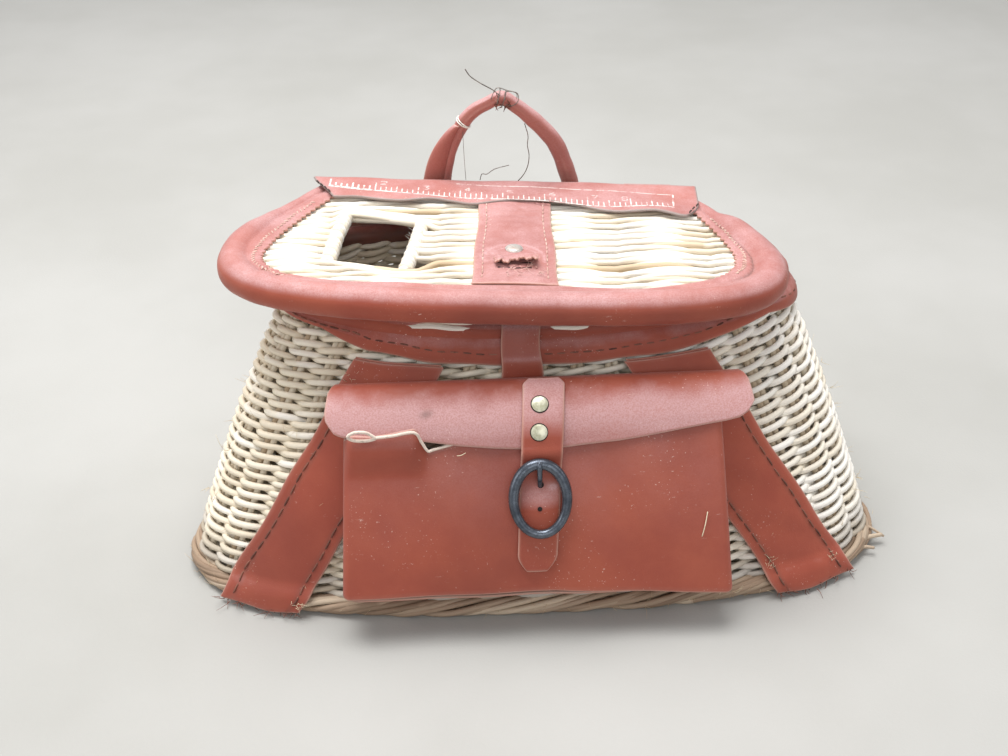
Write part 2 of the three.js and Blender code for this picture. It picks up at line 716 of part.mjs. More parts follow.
function buildLidPanel() {
  const edge = lidLine(LID_ROLL_RADIUS + 2 * GAP);
  const back = -LID_ROD_RADIUS - 2 * GAP;
  const kept = edge.filter((p) => p.y < back - 1);
  const shape = new THREE.Shape([
    new THREE.Vector2(kept[0].x, back),
    ...kept.map((p) => new THREE.Vector2(p.x, p.y)),
    new THREE.Vector2(kept[kept.length - 1].x, back),
  ]);
  const slack = 2 * BAR_RADIUS + 2 * GAP;
  const [a, b, c, d] = holeCorner;
  shape.holes.push(new THREE.Path([
    new THREE.Vector2(a.x - slack, a.y),
    new THREE.Vector2(b.x + slack, b.y),
    new THREE.Vector2(c.x + slack, c.y),
    new THREE.Vector2(d.x - slack, d.y),
  ]));
  const panel = new THREE.ExtrudeGeometry(shape, { depth: LID_PANEL, bevelEnabled: false });
  panel.translate(0, 0, -LID_PANEL / 2);
  addPiece('lid_panel', panel, wicker(), lid);

  const barLine = (from, to, side) => {
    const shiftX = side * (BAR_RADIUS + GAP);
    const end = (p, q) => p.clone().lerp(q, 0.04).add(vec(shiftX, 0, 0));
    return [end(from, to), from.clone().lerp(to, 0.5).add(vec(shiftX, 0, 0)), end(to, from)];
  };
  addPiece('hole_bar_left', bar(barLine(a, d, -1), BAR_RADIUS, 8), wicker(), lid);
  addPiece('hole_bar_right', bar(barLine(b, c, 1), BAR_RADIUS, 8), wicker(), lid);

  const rodHalf = LID_HALF_WIDTH * LID_BACK_SHARE - LID_ROLL_END - LID_ROLL_RADIUS;
  addPiece('lid_rod', bar([vec(-rodHalf, 0), vec(rodHalf, 0)], LID_ROD_RADIUS, 8), cane(), lid);
}

// The roll is thin under the ruler strip and swells towards the front
function lidRollRadius(p) {
  const swell = p.x < 0 ? LID_SWELL_LEFT : LID_SWELL_RIGHT;
  const full = THREE.MathUtils.smoothstep(-p.y, RULER_WIDTH * 0.8, swell);
  return mix(LID_ROLL_END, LID_ROLL_RADIUS, full);
}

function buildLidBinding() {
  addPiece('lid_roll', bar(lidLine(), lidRollRadius, 10), leather(), lid);

  // Flat width of the band by its share of the way from hinge corner to mid front
  const widths = [
    { along: 0.0, width: 19 },
    { along: 0.25, width: 17 },
    { along: 0.45, width: 11 },
    { along: 0.62, width: 5 },
    { along: 1.0, width: 4 },
  ];
  const line = lidLine(0, 57);
  const inwards = offsetPath(line, 1);
  for (const [name, z] of [['lid_band', bandMiddle], ['lid_band_under', -bandMiddle]]) {
    const first = line.findIndex((p) => p.y < -RULER_WIDTH * 0.25);
    const count = line.length - 1 - 2 * first;
    const band = sheet(count, 1, (u, v) => {
      const i = Math.min(Math.max(u * count, 0), count) + first;
      const k = Math.min(Math.floor(i), line.length - 2);
      const share = Math.min(1, Math.min(i, line.length - 1 - i) / ((line.length - 1) / 2));
      const p = line[k].clone().lerp(line[k + 1], i - k);
      const across = inwards[k].clone().lerp(inwards[k + 1], i - k).sub(p);
      const inner = LID_ROLL_RADIUS + tableValue(widths, 'along', 'width', share);
      return p.addScaledVector(across, mix(lidRollRadius(p) + GAP, inner, v)).setZ(z);
    });
    addPiece(name, band, leather(), lid);
  }
}

function buildLidStrap() {
  const from = -LID_ROD_RADIUS - GAP;
  const to = -LID_DEPTH + LID_ROLL_RADIUS + 5 + 3 * GAP;
  const strap = sheet(2, 6, (u, v) => {
    const half = (LID_STRAP_WIDTH / 2) * mix(0.94, 1.06, v);
    return vec(LID_STRAP_X + (2 * u - 1) * half, mix(from, to, v), bandMiddle);
  });
  addPiece('lid_strap', strap, leather(), lid);

  const onStrap = bandMiddle + LEATHER / 2 + GAP;
  const head = [
    new THREE.Vector2(0, 0),
    new THREE.Vector2(STUD_RADIUS, 0),
    new THREE.Vector2(STUD_RADIUS * 0.85, STUD_HEIGHT * 0.6),
    new THREE.Vector2(STUD_RADIUS * 0.4, STUD_HEIGHT),
    new THREE.Vector2(0, STUD_HEIGHT),
  ];
  const stud = addPiece('lid_stud', new THREE.LatheGeometry(head, 14), steel(), lid);
  stud.rotation.x = Math.PI / 2;
  stud.position.set(LID_STRAP_X, -STUD_REACH, onStrap);

  const loop = sheet(6, 6, (u, v) => {
    const x = (2 * u - 1) * LOOP_WIDTH / 2;
    const rise = Math.sin(Math.PI * v * 0.62) * LOOP_HEIGHT * (1 - 0.35 * u);
    return vec(LID_STRAP_X + x, -LOOP_REACH - v * LOOP_HEIGHT, onStrap + LEATHER / 2 + rise);
  });
  addPiece('lid_loop', loop, leather(), lid);
}

// Ruler strip: over the hinge side, its free front edge wavy, its ends cut aslant
function buildRulerStrip() {
  const strip = sheet(20, 2, (u, v) => {
    const wave = 0.86 + 0.05 * Math.sin(u * 9 + 0.6) - 0.09 * Math.cos(u * 5);
    const y = HINGE_BACK - GAP - v * RULER_WIDTH * wave;
    const half = RULER_LENGTH / 2 - 8 * v;
    return vec(RULER_X + (2 * u - 1) * half, y, rulerMiddle);
  });
  addPiece('ruler_strip', strip, leather(), lid);
}

// Hinge leather: stitched to the basket's back, over the rim roll and up to the hinge line
function buildHinge() {
  lid.updateMatrixWorld(true);
  const half = RULER_LENGTH / 2 - 8;
  const out = GAP + LEATHER / 2;
  const strip = sheet(8, 10, (u, v) => {
    const x = (2 * u - 1) * half;
    const end = vec(x, HINGE_BACK + out, rulerMiddle - LEATHER).applyMatrix4(lid.matrixWorld);
    const rimOut = BACK_Y - WICKER / 2 + RIM_RADIUS + out;
    const line = [
      vec(end.x, BACK_Y + 2 * out + LEATHER, bandFoot - LEATHER),
      vec(end.x, rimOut + 0.5, wallTop - 2),
      vec(end.x, rimOut + 0.5, rimMiddle),
      vec(end.x, mix(rimOut, end.y, 0.35), RIM_TOP + 1),
      end,
    ];
    return new THREE.CatmullRomCurve3(line, false, 'centripetal').getPoint(v);
  });
  addPiece('hinge_leather', strip, leather());
}

buildBasket();
buildBrace('brace_left', -1);
buildBrace('brace_right', 1);
buildClosure();
buildPocket();
buildFlap();
buildTab();
buildRivet('rivet_upper', FLAP_ROOT - RIVET_DROP);
buildRivet('rivet_lower', FLAP_ROOT - RIVET_DROP - RIVET_PITCH);
buildBuckle();
buildHandle();
creel.add(lid);
buildLidPanel();
buildLidBinding();
buildLidStrap();
buildRulerStrip();
buildHinge();

export default creel;
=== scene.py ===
import math

import bpy
import numpy as np
from mathutils import Matrix, Vector


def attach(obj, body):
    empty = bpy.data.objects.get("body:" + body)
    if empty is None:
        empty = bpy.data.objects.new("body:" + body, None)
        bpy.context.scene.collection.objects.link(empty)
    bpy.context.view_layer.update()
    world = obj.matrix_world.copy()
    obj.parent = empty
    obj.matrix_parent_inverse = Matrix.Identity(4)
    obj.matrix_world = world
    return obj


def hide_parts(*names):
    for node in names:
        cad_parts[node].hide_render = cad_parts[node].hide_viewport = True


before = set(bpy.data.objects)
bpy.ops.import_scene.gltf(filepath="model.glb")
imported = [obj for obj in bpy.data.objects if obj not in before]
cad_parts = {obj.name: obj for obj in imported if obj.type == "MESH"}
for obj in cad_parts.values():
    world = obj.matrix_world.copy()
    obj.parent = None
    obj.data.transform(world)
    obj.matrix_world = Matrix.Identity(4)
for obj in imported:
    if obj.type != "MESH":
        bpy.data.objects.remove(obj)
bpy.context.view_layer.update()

# Looks of a wicker fishing creel with leather bindings. Shapes are worked out in millimetres in the
# frame's own axes and turned into metres when a piece is made.
MM = 0.001
SPLINE_STEPS = 24
FLIP = [0, 3, 2, 1]
rng = np.random.default_rng(11)

# Image and camera
IMAGE_WIDTH = 1008
FOCAL_PX = 1335.1
SENSOR_MM = 36
CAMERA_AZIMUTH = -1.83
CAMERA_ELEVATION = 33.55
CAMERA_ROLL = -1.17
CAMERA_DISTANCE = 751.47
CAMERA_TARGET = (-14.59, 0, 94.43)

# Basket, in plan and upright
BASE_HALF_WIDTH = 198
BASE_FRONT = 94
BASE_WIDEST_Y = -22
BASE_CORNER = 2.6
BASE_BACK_SHARE = 0.76
BACK_Y = 92
RIM_HALF_WIDTH = 137
RIM_FRONT = 26
RIM_WIDEST_Y = 36
RIM_CORNER = 2
RIM_BACK_SHARE = 0.88
RIM_SHIFT = 5
BACK_CORNER = 8
SIDE_TAPER = 1.4
RIM_TOP = 148
WALL_BELLY = 0.28
RIM_RADIUS = 6
RIM_MIDDLE = RIM_TOP - RIM_RADIUS
BAND_HEIGHT = 20
BAND_FOOT = RIM_TOP - BAND_HEIGHT
BORDER_RADIUS = 5.5
BORDER_TWISTS = 9
FRONT_LEAN = math.cos(math.atan((BASE_FRONT - RIM_FRONT) / RIM_TOP))
FACE_POINTS = 720
FACE_LEVELS = 38

# Weave of the wall and of the floor
STAKES = 38
WALL_ROWS = 26
STRAND = 1.82
STAKE = 1.9
FLOOR_PITCH = 4.9
FLOOR_STICK_PITCH = 22
FLOOR_MIDDLE = 3.9

# Lid, in its own frame
LID_HALF_WIDTH = 144
LID_DEPTH = 130
LID_WIDEST = 80
LID_CORNER = 3
LID_BACK_SHARE = 0.73
LID_ROLL_RADIUS = 9
LID_ROLL_END = 4.6
LID_SWELL_LEFT = 66
LID_SWELL_RIGHT = 42
LID_SHIFT = -9.6
LID_LIFT = 0.3
LID_YAW = -2.7
LID_ROLL = 2.3
HINGE_BACK = 5
LID_STRAND = 1.86
LID_ROW_PITCH = 6.9
LID_BAY = 50
LID_SWAP = 15
LID_ARCH = 1.7

# Leather
LEATHER = 1.8
THREAD_LIFT = 0.75
BRACE_WIDTH = 46
BRACE_SEAM = 6.2
BRACE_TOP_X = 71
BRACE_FOOT_X = 154
CLOSURE_WIDTH = 21.5
CLOSURE_X = -6.5


def mix(a, b, t):
    return a + (b - a) * t


def ease(value, start, end):
    t = np.clip((value - start) / (end - start), 0, 1)
    return t * t * (3 - 2 * t)


def unit(v):
    return v / np.maximum(np.linalg.norm(v, axis=-1, keepdims=True), 1e-9)


def vec(x, y, z):
    """Points with broadcast coordinates, in a last axis of three."""
    return np.stack(np.broadcast_arrays(*(np.asarray(c, float) for c in (x, y, z))), axis=-1)


def wobble(share, size, waves=(2, 5, 9)):
    """Smooth random wander that joins up after one turn of share."""
    out = np.zeros(np.shape(share))
    for count in waves:
        phase, height = rng.uniform(0, 2 * math.pi), rng.uniform(0.4, 1)
        out = out + height * np.sin(2 * math.pi * count * share + phase)
    return out * size / len(waves)


def axes(rows, columns, down=(0, 1), across=(0, 1)):
    """Steps down and across a grid, which broadcast against each other."""
    return np.linspace(*down, rows)[:, None], np.linspace(*across, columns)[None]


def reach_along(points):
    steps = np.linalg.norm(np.diff(points, axis=0), axis=1)
    return np.concatenate([[0], np.cumsum(steps)])


def between(at, places, points):
    """Points of a line at some places, where the line's own points are at the places listed."""
    return np.stack([np.interp(at, places, column) for column in points.T], axis=-1)


def resample(points, count):
    """Points of an open line, spread evenly."""
    reach = reach_along(points)
    return between(np.linspace(0, reach[-1], count), reach, points)


def spline(points, count):
    """Smooth open line through a few points, evenly spread."""
    points = np.asarray(points, float)
    padded = np.vstack([2 * points[0] - points[1], points, 2 * points[-1] - points[-2]])
    t = np.linspace(0, 1, SPLINE_STEPS, endpoint=False)[:, None]
    parts = []
    for i in range(1, len(padded) - 2):
        a, b, c, d = padded[i - 1:i + 3]
        parts.append(0.5 * (2 * b + (c - a) * t + (2 * a - 5 * b + 4 * c - d) * t ** 2
                            + (3 * b - a - 3 * c + d) * t ** 3))
    parts.append(points[-1:])
    return resample(np.vstack(parts), count)


def table(at, *pairs):
    """Value at a place, straight between listed (place, value) pairs."""
    places, values = zip(*pairs)
    return np.interp(at, places, values)


def surface(grid, loop=False):
    """Surface through a grid of points: its first axis is u, which may close on itself, its second v."""
    rows, columns = grid.shape[:2]

    def at(u, v):
        a = (u % 1) * rows if loop else np.clip(u, 0, 1) * (rows - 1)
        b = np.clip(v, 0, 1) * (columns - 1)
        i = np.minimum(a.astype(int), rows - (1 if loop else 2))
        k = np.minimum(b.astype(int), columns - 2)
        p, q = (a - i)[..., None], (b - k)[..., None]
        j = (i + 1) % rows
        return mix(mix(grid[i, k], grid[j, k], p), mix(grid[i, k + 1], grid[j, k + 1], p), q)

    return at


def circle(count):
    return 2 * math.pi * np.arange(count) / count


def quad_grid(rows, columns, loop_rows=False, loop_columns=False):
    """Quads over a grid of points: their corners' indices, rows and columns, each (quads, 4)."""
    down, across = np.arange(rows - (not loop_rows)), np.arange(columns - (not loop_columns))
    i, j = np.meshgrid(down, across, indexing="ij")
    i = np.stack([i, i + 1, i + 1, i], axis=-1).reshape(-1, 4)
    j = np.stack([j, j, j + 1, j + 1], axis=-1).reshape(-1, 4)
    return (i % rows) * columns + j % columns, i, j


class Piece:
    """Points, faces, corner coordinates and point marks of one piece, gathered in millimetres."""

    MARKS = ("tone", "edge", "flesh", "dirt", "dust")

    def __init__(self):
        self.points, self.faces, self.uv = [], [], []
        self.marks = {name: [] for name in self.MARKS}
        self.count = 0

    def add(self, points, faces, uv, **marks):
        points = points.reshape(-1, 3)
        self.points.append(points)
        self.faces += [(f + self.count).tolist() for f in faces]
        self.uv.append(uv.reshape(-1, 2))
        for name in self.MARKS:
            value = np.broadcast_to(np.asarray(marks.get(name, 0), float), (len(points),))
            self.marks[name].append(value)
        self.count += len(points)

    def make(self, name, material, body, replaces=()):
        mesh = bpy.data.meshes.new(name)
        corners = [face for group in self.faces for face in group]
        mesh.from_pydata((np.concatenate(self.points) * MM).tolist(), [], corners)
        layer = mesh.uv_layers.new(name="UVMap")
        layer.data.foreach_set("uv", np.concatenate(self.uv).astype(np.float32).ravel())
        mesh.polygons.foreach_set("use_smooth", np.ones(len(mesh.polygons), bool))
        for mark, values in self.marks.items():
            data = mesh.attributes.new(mark, "FLOAT", "POINT").data
            data.foreach_set("value", np.concatenate(values).astype(np.float32))
        normals = np.zeros(len(mesh.vertices) * 3, np.float32)
        mesh.vertex_normals.foreach_get("vector", normals)
        up = mesh.attributes.new("upward", "FLOAT", "POINT").data
        up.foreach_set("value", np.ascontiguousarray(normals[2::3]))
        piece = bpy.data.objects.new(name, mesh)
        bpy.context.scene.collection.objects.link(piece)
        mesh.materials.append(material)
        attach(piece, body)
        if replaces:
            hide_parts(*replaces)
        return piece


def tube(piece, path, radius, sides=8, closed=False, toward=(0, 0, 1), **marks):
    """Round strands along path, (strands, points, 3). Radius and marks may follow the points."""
    path = np.asarray(path, float)
    path = path[None] if path.ndim == 2 else path
    strands, count, _ = path.shape
    if closed:
        along = unit(np.roll(path, -1, 1) - np.roll(path, 1, 1))
    else:
        padded = np.concatenate([path[:, :1], path, path[:, -1:]], axis=1)
        along = unit(padded[:, 2:] - padded[:, :-2])
    side = unit(np.cross(along, np.broadcast_to(toward, path.shape)))
    up = np.cross(side, along)
    turn = circle(sides)
    radius = np.broadcast_to(radius, (strands, count))[..., None, None]
    ring = side[:, :, None] * np.cos(turn)[:, None] + up[:, :, None] * np.sin(turn)[:, None]
    steps = np.linalg.norm(np.roll(path, -1, 1) - path, axis=-1)
    reach = np.concatenate([np.zeros((strands, 1)), np.cumsum(steps, 1)], axis=1)
    quads, i, j = quad_grid(count, sides, closed, True)
    index = np.arange(strands * count * sides).reshape(strands, count, sides)
    u = reach[:, i] * MM
    faces = [(index[:, :1, :1] + quads).reshape(-1, 4)]
    uv = [np.stack([u, np.broadcast_to(j / sides, u.shape)], axis=-1).reshape(-1, 2)]
    if not closed:
        faces += [index[:, 0], index[:, -1, ::-1]]
        uv.append(np.zeros((2 * strands * sides, 2)))
    spread = {k: np.repeat(np.broadcast_to(m, (strands, count)).ravel(), sides) for k, m in marks.items()}
    piece.add(path[:, :, None] + radius * ring, faces, np.concatenate(uv), **spread)


def stations(count, length, edge):
    """Shares from 0 to 1 that crowd at both ends, so that the edge there can be rounded."""
    share = edge / length
    inner = np.linspace(share, 1 - share, count + 1)
    start = share * np.array([0, 0.1, 0.4])
    return np.concatenate([start, inner, 1 - start[::-1]])


def sheet(piece, at, nu, nv, thick=LEATHER, loop=False, grooves=(), **marks):
    """Leather about the surface at(u, v), with rounded edges. Its outer face is the one that du x dv looks
    out of, and grooves are depths in from both v edges."""
    edge = thick * 0.6
    mid = np.full(60, 0.5)
    run = np.linspace(0, 1, 60)
    length, width = reach_along(at(run, mid))[-1], reach_along(at(mid, run))[-1]
    us = np.arange(nu) / nu if loop else stations(nu, length, edge)
    vs = stations(nv, width, edge)
    u, v = np.meshgrid(us, vs, indexing="ij")
    step = 2e-3
    ends = (lambda x: x) if loop else (lambda x: np.clip(x, 0, 1))
    du = at(ends(u + step), v) - at(ends(u - step), v)
    dv = at(u, np.minimum(v + step, 1)) - at(u, np.maximum(v - step, 0))
    normal = unit(np.cross(du, dv))
    middle = at(u, v)
    in_u = np.full(u.shape, edge) if loop else np.minimum(u, 1 - u) * length
    in_v = np.minimum(v, 1 - v) * width
    round_off = np.ones(u.shape)
    for inwards in (in_u, in_v):
        share = np.clip(inwards / edge, 0, 1)
        round_off = round_off * np.sqrt(np.maximum(1 - (1 - share) ** 2, 0))
    half = thick / 2 * round_off
    for depth in grooves:
        half = half * (1 - 0.42 * np.exp(-((in_v - depth) / 1.1) ** 2))
    rows, columns = u.shape
    rim = round_off < 1e-6
    low = np.arange(rows * columns).reshape(rows, columns)
    low[~rim] = rows * columns + np.arange((~rim).sum())
    points = np.concatenate([(middle + normal * half[..., None]).reshape(-1, 3),
                             (middle - normal * half[..., None])[~rim]])
    quads, i, j = quad_grid(rows, columns, loop)
    corners = np.stack([np.append(us, 1.0)[i], vs[j]], axis=-1)
    uv = np.concatenate([corners.reshape(-1, 2), corners[:, FLIP].reshape(-1, 2)]) * (length * MM, width * MM)
    near = 1 - ease(np.minimum(in_u if not loop else edge * 2, in_v), edge * 0.55, edge * 1.15)
    spread = {"edge": np.concatenate([near.ravel(), near[~rim]]),
              "flesh": np.concatenate([np.zeros(u.size), np.ones((~rim).sum())])}
    for name, value in marks.items():
        grid = np.broadcast_to(value(u, v) if callable(value) else value, u.shape)
        spread[name] = np.concatenate([grid.ravel(), grid[~rim]])
    piece.add(points, [quads, low.ravel()[quads[:, FLIP]]], uv, **spread)


def stitches(piece, line, normal, length, gap, radius, sink=0.5):
    """Thread in separate stitches along a dense line with its outward normals, or one normal for all."""
    reach = reach_along(line)
    normal = np.broadcast_to(normal, line.shape)
    count = int((reach[-1] - gap) / (length + gap))
    starts = gap / 2 + np.arange(count) * (reach[-1] - gap) / count + rng.uniform(-0.1, 0.1, count) * gap
    shares = np.linspace(0, 1, 7)
    at = starts[:, None] + shares * length
    path = between(at, reach, line)
    out = unit(between(at, reach, normal))
    height = radius * (1.2 * np.sin(math.pi * shares) ** 0.6 - sink)
    sway = rng.uniform(-0.25, 0.25, (count, 1, 1)) * radius * np.cross(out, unit(np.gradient(path, axis=1)))
    taper = radius * np.clip(0.55 + np.sin(math.pi * shares), 0, 1)
    tone = rng.uniform(0.2, 0.9, (count, 1))
    tube(piece, path + out * height[:, None] + sway, taper, 6, toward=out, tone=tone)


def plan_at(z, grow=0):
    s = np.clip(z / RIM_TOP, 0, 1)
    w = s - WALL_BELLY * s * (1 - s)
    back = mix(BASE_HALF_WIDTH * BASE_BACK_SHARE, RIM_HALF_WIDTH * RIM_BACK_SHARE, w)
    return {
        "half": mix(BASE_HALF_WIDTH, RIM_HALF_WIDTH, w) + grow,
        "front": -mix(BASE_FRONT, RIM_FRONT, w) - grow,
        "widest": mix(BASE_WIDEST_Y, RIM_WIDEST_Y, w),
        "back": BACK_Y + grow,
        "back_half": back + grow,
        "corner": mix(BASE_CORNER, RIM_CORNER, w),
        "shift": RIM_SHIFT * w,
    }


def outline(z, grow=0, count=FACE_POINTS):
    """Closed outline of the basket at a height, evenly spaced from the middle of its front."""
    plan = plan_at(z, grow)
    turn = circle(4 * FACE_POINTS) - math.pi / 2
    c, s = np.cos(turn), np.sin(turn)
    power = 2 / np.where(s < 0, plan["corner"], BACK_CORNER)
    across = np.sign(c) * np.abs(c) ** power
    deep = np.abs(s) ** power
    taper = np.where(s < 0, 0, (plan["half"] - plan["back_half"]) * deep ** SIDE_TAPER)
    end = np.where(s < 0, plan["front"], plan["back"])
    line = np.stack([plan["shift"] + (plan["half"] - taper) * across,
                     mix(plan["widest"], end, deep)], axis=-1)
    return resample(np.vstack([line, line[:1]]), count + 1)[:-1]


FACE = np.stack([np.insert(outline(z), 2, z, axis=1) for z in np.linspace(0, RIM_TOP, FACE_LEVELS)], axis=1)
FACE_AT = surface(FACE, True)
FACE_OUT = surface(unit(np.cross(np.roll(FACE, -2, 0) - np.roll(FACE, 2, 0), np.gradient(FACE, axis=1))), True)


def on_wall(share, z, out=0.0):
    """Point of the basket's outer face at a share of the way round and a height, moved outwards."""
    share, level, out = np.broadcast_arrays(share, np.clip(z / RIM_TOP, 0, 1), out)
    return FACE_AT(share, level) + unit(FACE_OUT(share, level)) * out[..., None]


def wall_normal(share, z):
    return unit(on_wall(share, z, 1.0) - on_wall(share, z, 0.0))


def front_y(x, z, grow=0):
    plan = plan_at(z, grow)
    across = np.minimum(np.abs(x - plan["shift"]) / plan["half"], 1)
    deep = (1 - across ** plan["corner"]) ** (1 / plan["corner"])
    return mix(plan["widest"], plan["front"], deep)


def lid_matrix():
    yaw, roll = math.radians(LID_YAW), math.radians(LID_ROLL)
    drop = math.sin(roll) * (LID_HALF_WIDTH + LID_ROLL_RADIUS)
    place = (LID_SHIFT, BACK_Y - 1, RIM_TOP + LID_LIFT + drop + LID_ROLL_RADIUS)
    turn = Matrix.Rotation(yaw, 3, "Z") @ Matrix.Rotation(roll, 3, "Y")
    return np.array(turn), np.array(place)


LID_TURN, LID_PLACE = lid_matrix()
LID_UP = LID_TURN[:, 2]


def on_lid(points):
    """Points of the lid's own frame, in the basket's frame."""
    return points @ LID_TURN.T + LID_PLACE


# Materials

class Nodes:
    """Short ways to add and join shader nodes."""

    def __init__(self, name):
        self.material = bpy.data.materials.new(name)
        self.material.use_nodes = True
        self.tree = self.material.node_tree
        self.shader = self.tree.nodes["Principled BSDF"]

    def put(self, socket, value):
        if isinstance(value, bpy.types.NodeSocket):
            self.tree.links.new(value, socket)
        else:
            socket.default_value = value

    def mark(self, name):
        node = self.tree.nodes.new("ShaderNodeAttribute")
        node.attribute_name = name
        return node.outputs["Fac"]

    def coords(self, kind="Object", scale=(1, 1, 1)):
        node = self.tree.nodes.new("ShaderNodeTexCoord")
        mapping = self.tree.nodes.new("ShaderNodeMapping")
        mapping.inputs["Scale"].default_value = scale
        self.tree.links.new(node.outputs[kind], mapping.inputs["Vector"])
        return mapping.outputs[0]

    def noise(self, scale, detail=3.0, rough=0.55, coords=None):
        node = self.tree.nodes.new("ShaderNodeTexNoise")
        node.inputs["Scale"].default_value = scale
        node.inputs["Detail"].default_value = detail
        node.inputs["Roughness"].default_value = rough
        self.tree.links.new(coords or self.coords(), node.inputs["Vector"])
        return node.outputs["Fac"]

    def cells(self, scale):
        node = self.tree.nodes.new("ShaderNodeTexVoronoi")
        node.inputs["Scale"].default_value = scale
        self.tree.links.new(self.coords(), node.inputs["Vector"])
        return node.outputs["Distance"]

    def math(self, kind, a, b=0.0, clamp=False):
        node = self.tree.nodes.new("ShaderNodeMath")
        node.operation = kind
        node.use_clamp = clamp
        self.put(node.inputs[0], a)
        self.put(node.inputs[1], b)
        return node.outputs[0]

    def span(self, value, low, high, to_low=0.0, to_high=1.0):
        node = self.tree.nodes.new("ShaderNodeMapRange")
        node.interpolation_type = "SMOOTHSTEP"
        for socket, v in zip(node.inputs, (value, low, high, to_low, to_high)):
            self.put(socket, v)
        return node.outputs[0]

    def colour(self, share, a, b):
        node = self.tree.nodes.new("ShaderNodeMix")
        node.data_type = "RGBA"
        self.put(node.inputs["Factor"], share)
        colours = [s for s in node.inputs if s.type == "RGBA"]
        for socket, value in zip(colours, (a, b)):
            self.put(socket, value if isinstance(value, bpy.types.NodeSocket) else (*value, 1))
        return [s for s in node.outputs if s.type == "RGBA"][0]

    def bump(self, height, distance, strength=1.0, before=None):
        node = self.tree.nodes.new("ShaderNodeBump")
        node.inputs["Strength"].default_value = strength
        node.inputs["Distance"].default_value = distance
        self.put(node.inputs["Height"], height)
        if before is not None:
            self.tree.links.new(before, node.inputs["Normal"])
        return node.outputs[0]

    def set(self, **values):
        for name, value in values.items():
            self.put(self.shader.inputs[name.replace("_", " ")], value)
        return self.material


BRICK, RUST, DEEP_RED = (0.325, 0.062, 0.034), (0.385, 0.084, 0.044), (0.14, 0.024, 0.015)
DUST_AND_SHEEN, SCUFF, PRINT = (0.53, 0.305, 0.3), (0.78, 0.58, 0.5), (0.9, 0.82, 0.76)
FLESH, CUT_EDGE, RULER_EDGE = (0.33, 0.2, 0.15), (0.6, 0.38, 0.3), (0.27, 0.23, 0.21)
LEATHER_DIRT_AND_SHADE, WICKER_DIRT_AND_SHADE = (0.12, 0.07, 0.055), (0.14, 0.095, 0.06)


def leather_material(name="leather", printed=False, cut=CUT_EDGE, bare=0.5):
    """Pale pink, partly dust and partly a painted sheen, lies where a face looks up and where its mark adds it.
    Cut edges are bare by a share.
    """
    n = Nodes(name)
    cloud = n.noise(26, 4, 0.6)
    patch = n.noise(9, 3, 0.5)
    base = n.colour(n.span(cloud, 0.3, 0.72), BRICK, RUST)
    base = n.colour(n.span(patch, 0.55, 0.3, 0, 0.4), base, DEEP_RED)
    # Upward faces turn pale pink: partly dust, partly a painted sheen of the overhead light.
    pink_sheen_and_dust = n.math("MULTIPLY", n.span(n.mark("upward"), 0.34, 0.8),
                  n.span(n.noise(38, 5, 0.65), 0.3, 0.7, 0.5, 1))
    pink_sheen_and_dust = n.math("ADD", pink_sheen_and_dust, n.mark("dust"), True)
    pink_sheen_and_dust = n.math("MULTIPLY", pink_sheen_and_dust, n.span(n.noise(1300, 2, 0.6), 0.3, 0.65, 0.62, 0.98))
    base = n.colour(pink_sheen_and_dust, base, DUST_AND_SHEEN)
    speck = n.math("MULTIPLY", n.span(n.noise(900, 2, 0.6), 0.675, 0.73),
                   n.span(n.noise(24, 3, 0.6), 0.48, 0.64))
    base = n.colour(n.math("MULTIPLY", speck, 0.85), base, SCUFF)
    streaks = n.noise(1, 4, 0.7, n.coords("Object", (90, 330, 330)))
    base = n.colour(n.span(streaks, 0.66, 0.78, 0, 0.4), base, SCUFF)
    # Darkening by its mark: painted shade inside the rim's roll, in the lid binding's crease and along the
    # brace seams, and a real smear on the flap.
    dirt = n.math("MULTIPLY", n.mark("dirt"), n.span(cloud, 0.2, 0.6, 0.5, 1))
    base = n.colour(dirt, base, LEATHER_DIRT_AND_SHADE)
    base = n.colour(n.math("MULTIPLY", n.mark("flesh"), 0.8), base, FLESH)
    base = n.colour(n.math("MULTIPLY", n.mark("edge"), bare), base, cut)
    if printed:
        worn = n.span(n.noise(260, 5, 0.75), 0.4, 0.52)
        fade = n.span(n.mark("tone"), 0.0, 0.9, 0.3, 1.0)
        base = n.colour(n.math("MULTIPLY", worn, fade), base, PRINT)
    grain = n.cells(1500)
    pores = n.bump(grain, 0.0001, 0.5)
    soft = n.bump(n.noise(60, 4, 0.6), 0.0009, 0.45, pores)
    rough = n.span(n.noise(50, 4, 0.7), 0.2, 0.8, 0.42, 0.68)
    return n.set(Base_Color=base, Roughness=rough, Normal=soft, Sheen_Weight=0.12, Sheen_Roughness=0.5,
                 Specular_IOR_Level=0.4)


def wicker_material(name, dark, middle, pale):
    n = Nodes(name)
    tone = n.mark("tone")
    strand = n.coords("UV", (26, 3, 1))
    fibre = n.noise(1, 4, 0.6, n.coords("UV", (60, 14, 1)))
    base = n.colour(n.span(tone, 0.0, 0.5), dark, middle)
    base = n.colour(n.span(tone, 0.5, 1.0), base, pale)
    stain = n.span(n.noise(1, 3, 0.6, strand), 0.52, 0.8, 0, 0.55)
    base = n.colour(stain, base, tuple(c * 0.62 for c in middle))
    base = n.colour(n.span(fibre, 0.56, 0.76, 0, 0.35), base, tuple(c * 0.55 for c in middle))
    # Darkening by its mark: painted shadow at the wall's foot, and a little on the stakes, the floor and the
    # border.
    base = n.colour(n.mark("dirt"), base, WICKER_DIRT_AND_SHADE)
    ring = n.bump(fibre, 0.0004, 0.5)
    lumps = n.bump(n.noise(170, 3, 0.6), 0.0007, 0.35, ring)
    rough = n.span(fibre, 0.2, 0.8, 0.45, 0.68)
    return n.set(Base_Color=base, Roughness=rough, Normal=lumps, Specular_IOR_Level=0.35)


